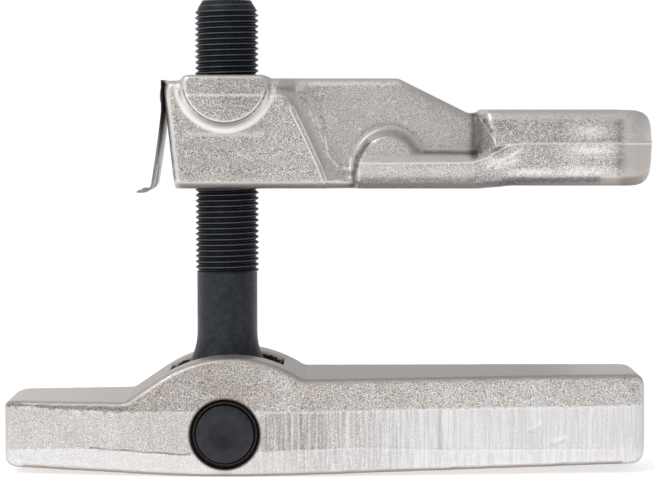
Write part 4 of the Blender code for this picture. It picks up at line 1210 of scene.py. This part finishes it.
def make_world():
    """Soft room light, brighter on the left and darker overhead, on a white background."""
    world = bpy.data.worlds.new("soft_room")
    bpy.context.scene.world = world
    world.use_nodes = True
    hand = Tree(world.node_tree)
    coords = hand.nodes.new("ShaderNodeTexCoord").outputs["Generated"]
    across = hand.span(hand.along(coords, "X"), -ROOM_HALF, ROOM_HALF)
    overhead = hand.span(hand.along(coords, "Z"), 0.0, CEILING_FROM)
    room = hand.blend(across, grey(LEFT_LEVEL, 0.0), grey(RIGHT_LEVEL, 0.0))
    room = tint(hand, room, overhead, grey(CEILING_SHARE, 0.02))
    path = hand.nodes.new("ShaderNodeLightPath").outputs
    shown = hand.blend(path["Is Camera Ray"], room, (1, 1, 1, 1))
    hand.feed(hand.nodes["Background"], Color=shown)


def add_lamp():
    """One broad lamp, high on the left and before the object."""
    data = bpy.data.lights.new("high_left", "AREA")
    data.energy = LAMP_POWER
    data.size = LAMP_SIZE
    lamp = bpy.data.objects.new("high_left", data)
    bpy.context.scene.collection.objects.link(lamp)
    lamp.location = LAMP_PLACE
    aim = Vector(LAMP_AIM) - Vector(LAMP_PLACE)
    lamp.rotation_euler = aim.to_track_quat("-Z", "Y").to_euler()


def make_camera():
    data = bpy.data.cameras.new("photo_camera")
    data.sensor_width = SENSOR_WIDTH
    data.lens = SENSOR_WIDTH * PHOTO_FOCAL / PHOTO_WIDTH
    camera = bpy.data.objects.new("photo_camera", data)
    bpy.context.scene.collection.objects.link(camera)
    camera.location = (pin.x + CAMERA_SIDE, -CAMERA_BACK, pin.z + CAMERA_RISE)
    camera.rotation_euler = (math.radians(90 - CAMERA_PITCH_DEG), 0, 0)
    bpy.context.scene.camera = camera


def put(piece, body, slot, material, *nodes):
    """Gives a finished piece its material and body, and hides the nodes it stands for; the slot is not
    used.
    """
    piece.data.materials.clear()
    piece.data.materials.append(material)
    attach(piece, body)
    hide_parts(*nodes)


blasted = blasted_grain_group()
ring_mask = ring_mask_group()
black = black_material("black_oxide", OXIDE_BLACKS, 0.34, 0.5, crest=0.8)
ring_black = black_material("ring_black", RING_BLACKS, 0.36, 0.3)
put(make_lever(), "lever", "forged_steel", lever_material(), "lower_lever_arm")
put(make_arm(), "fork", "forged_steel", fork_material(), "upper_fork_arm")
put(make_bolt(), "bolt", "black_steel", black, "eye_bolt")
put(make_pin(), "lever", "black_steel", pin_material(), "pivot_pin")
put(make_rivet(), "fork", "black_steel", ring_black, "spring_rivet")
put(make_spring(), "fork", "spring_steel", spring_material(), "leaf_spring")
for node in ("snap_ring_front", "snap_ring_rear"):
    shown = frame["nodes"][node]
    shown.data.materials.clear()
    shown.data.materials.append(ring_black)

make_stage()
make_world()
add_lamp()
make_camera()
bpy.context.scene.view_settings.view_transform = "Standard"
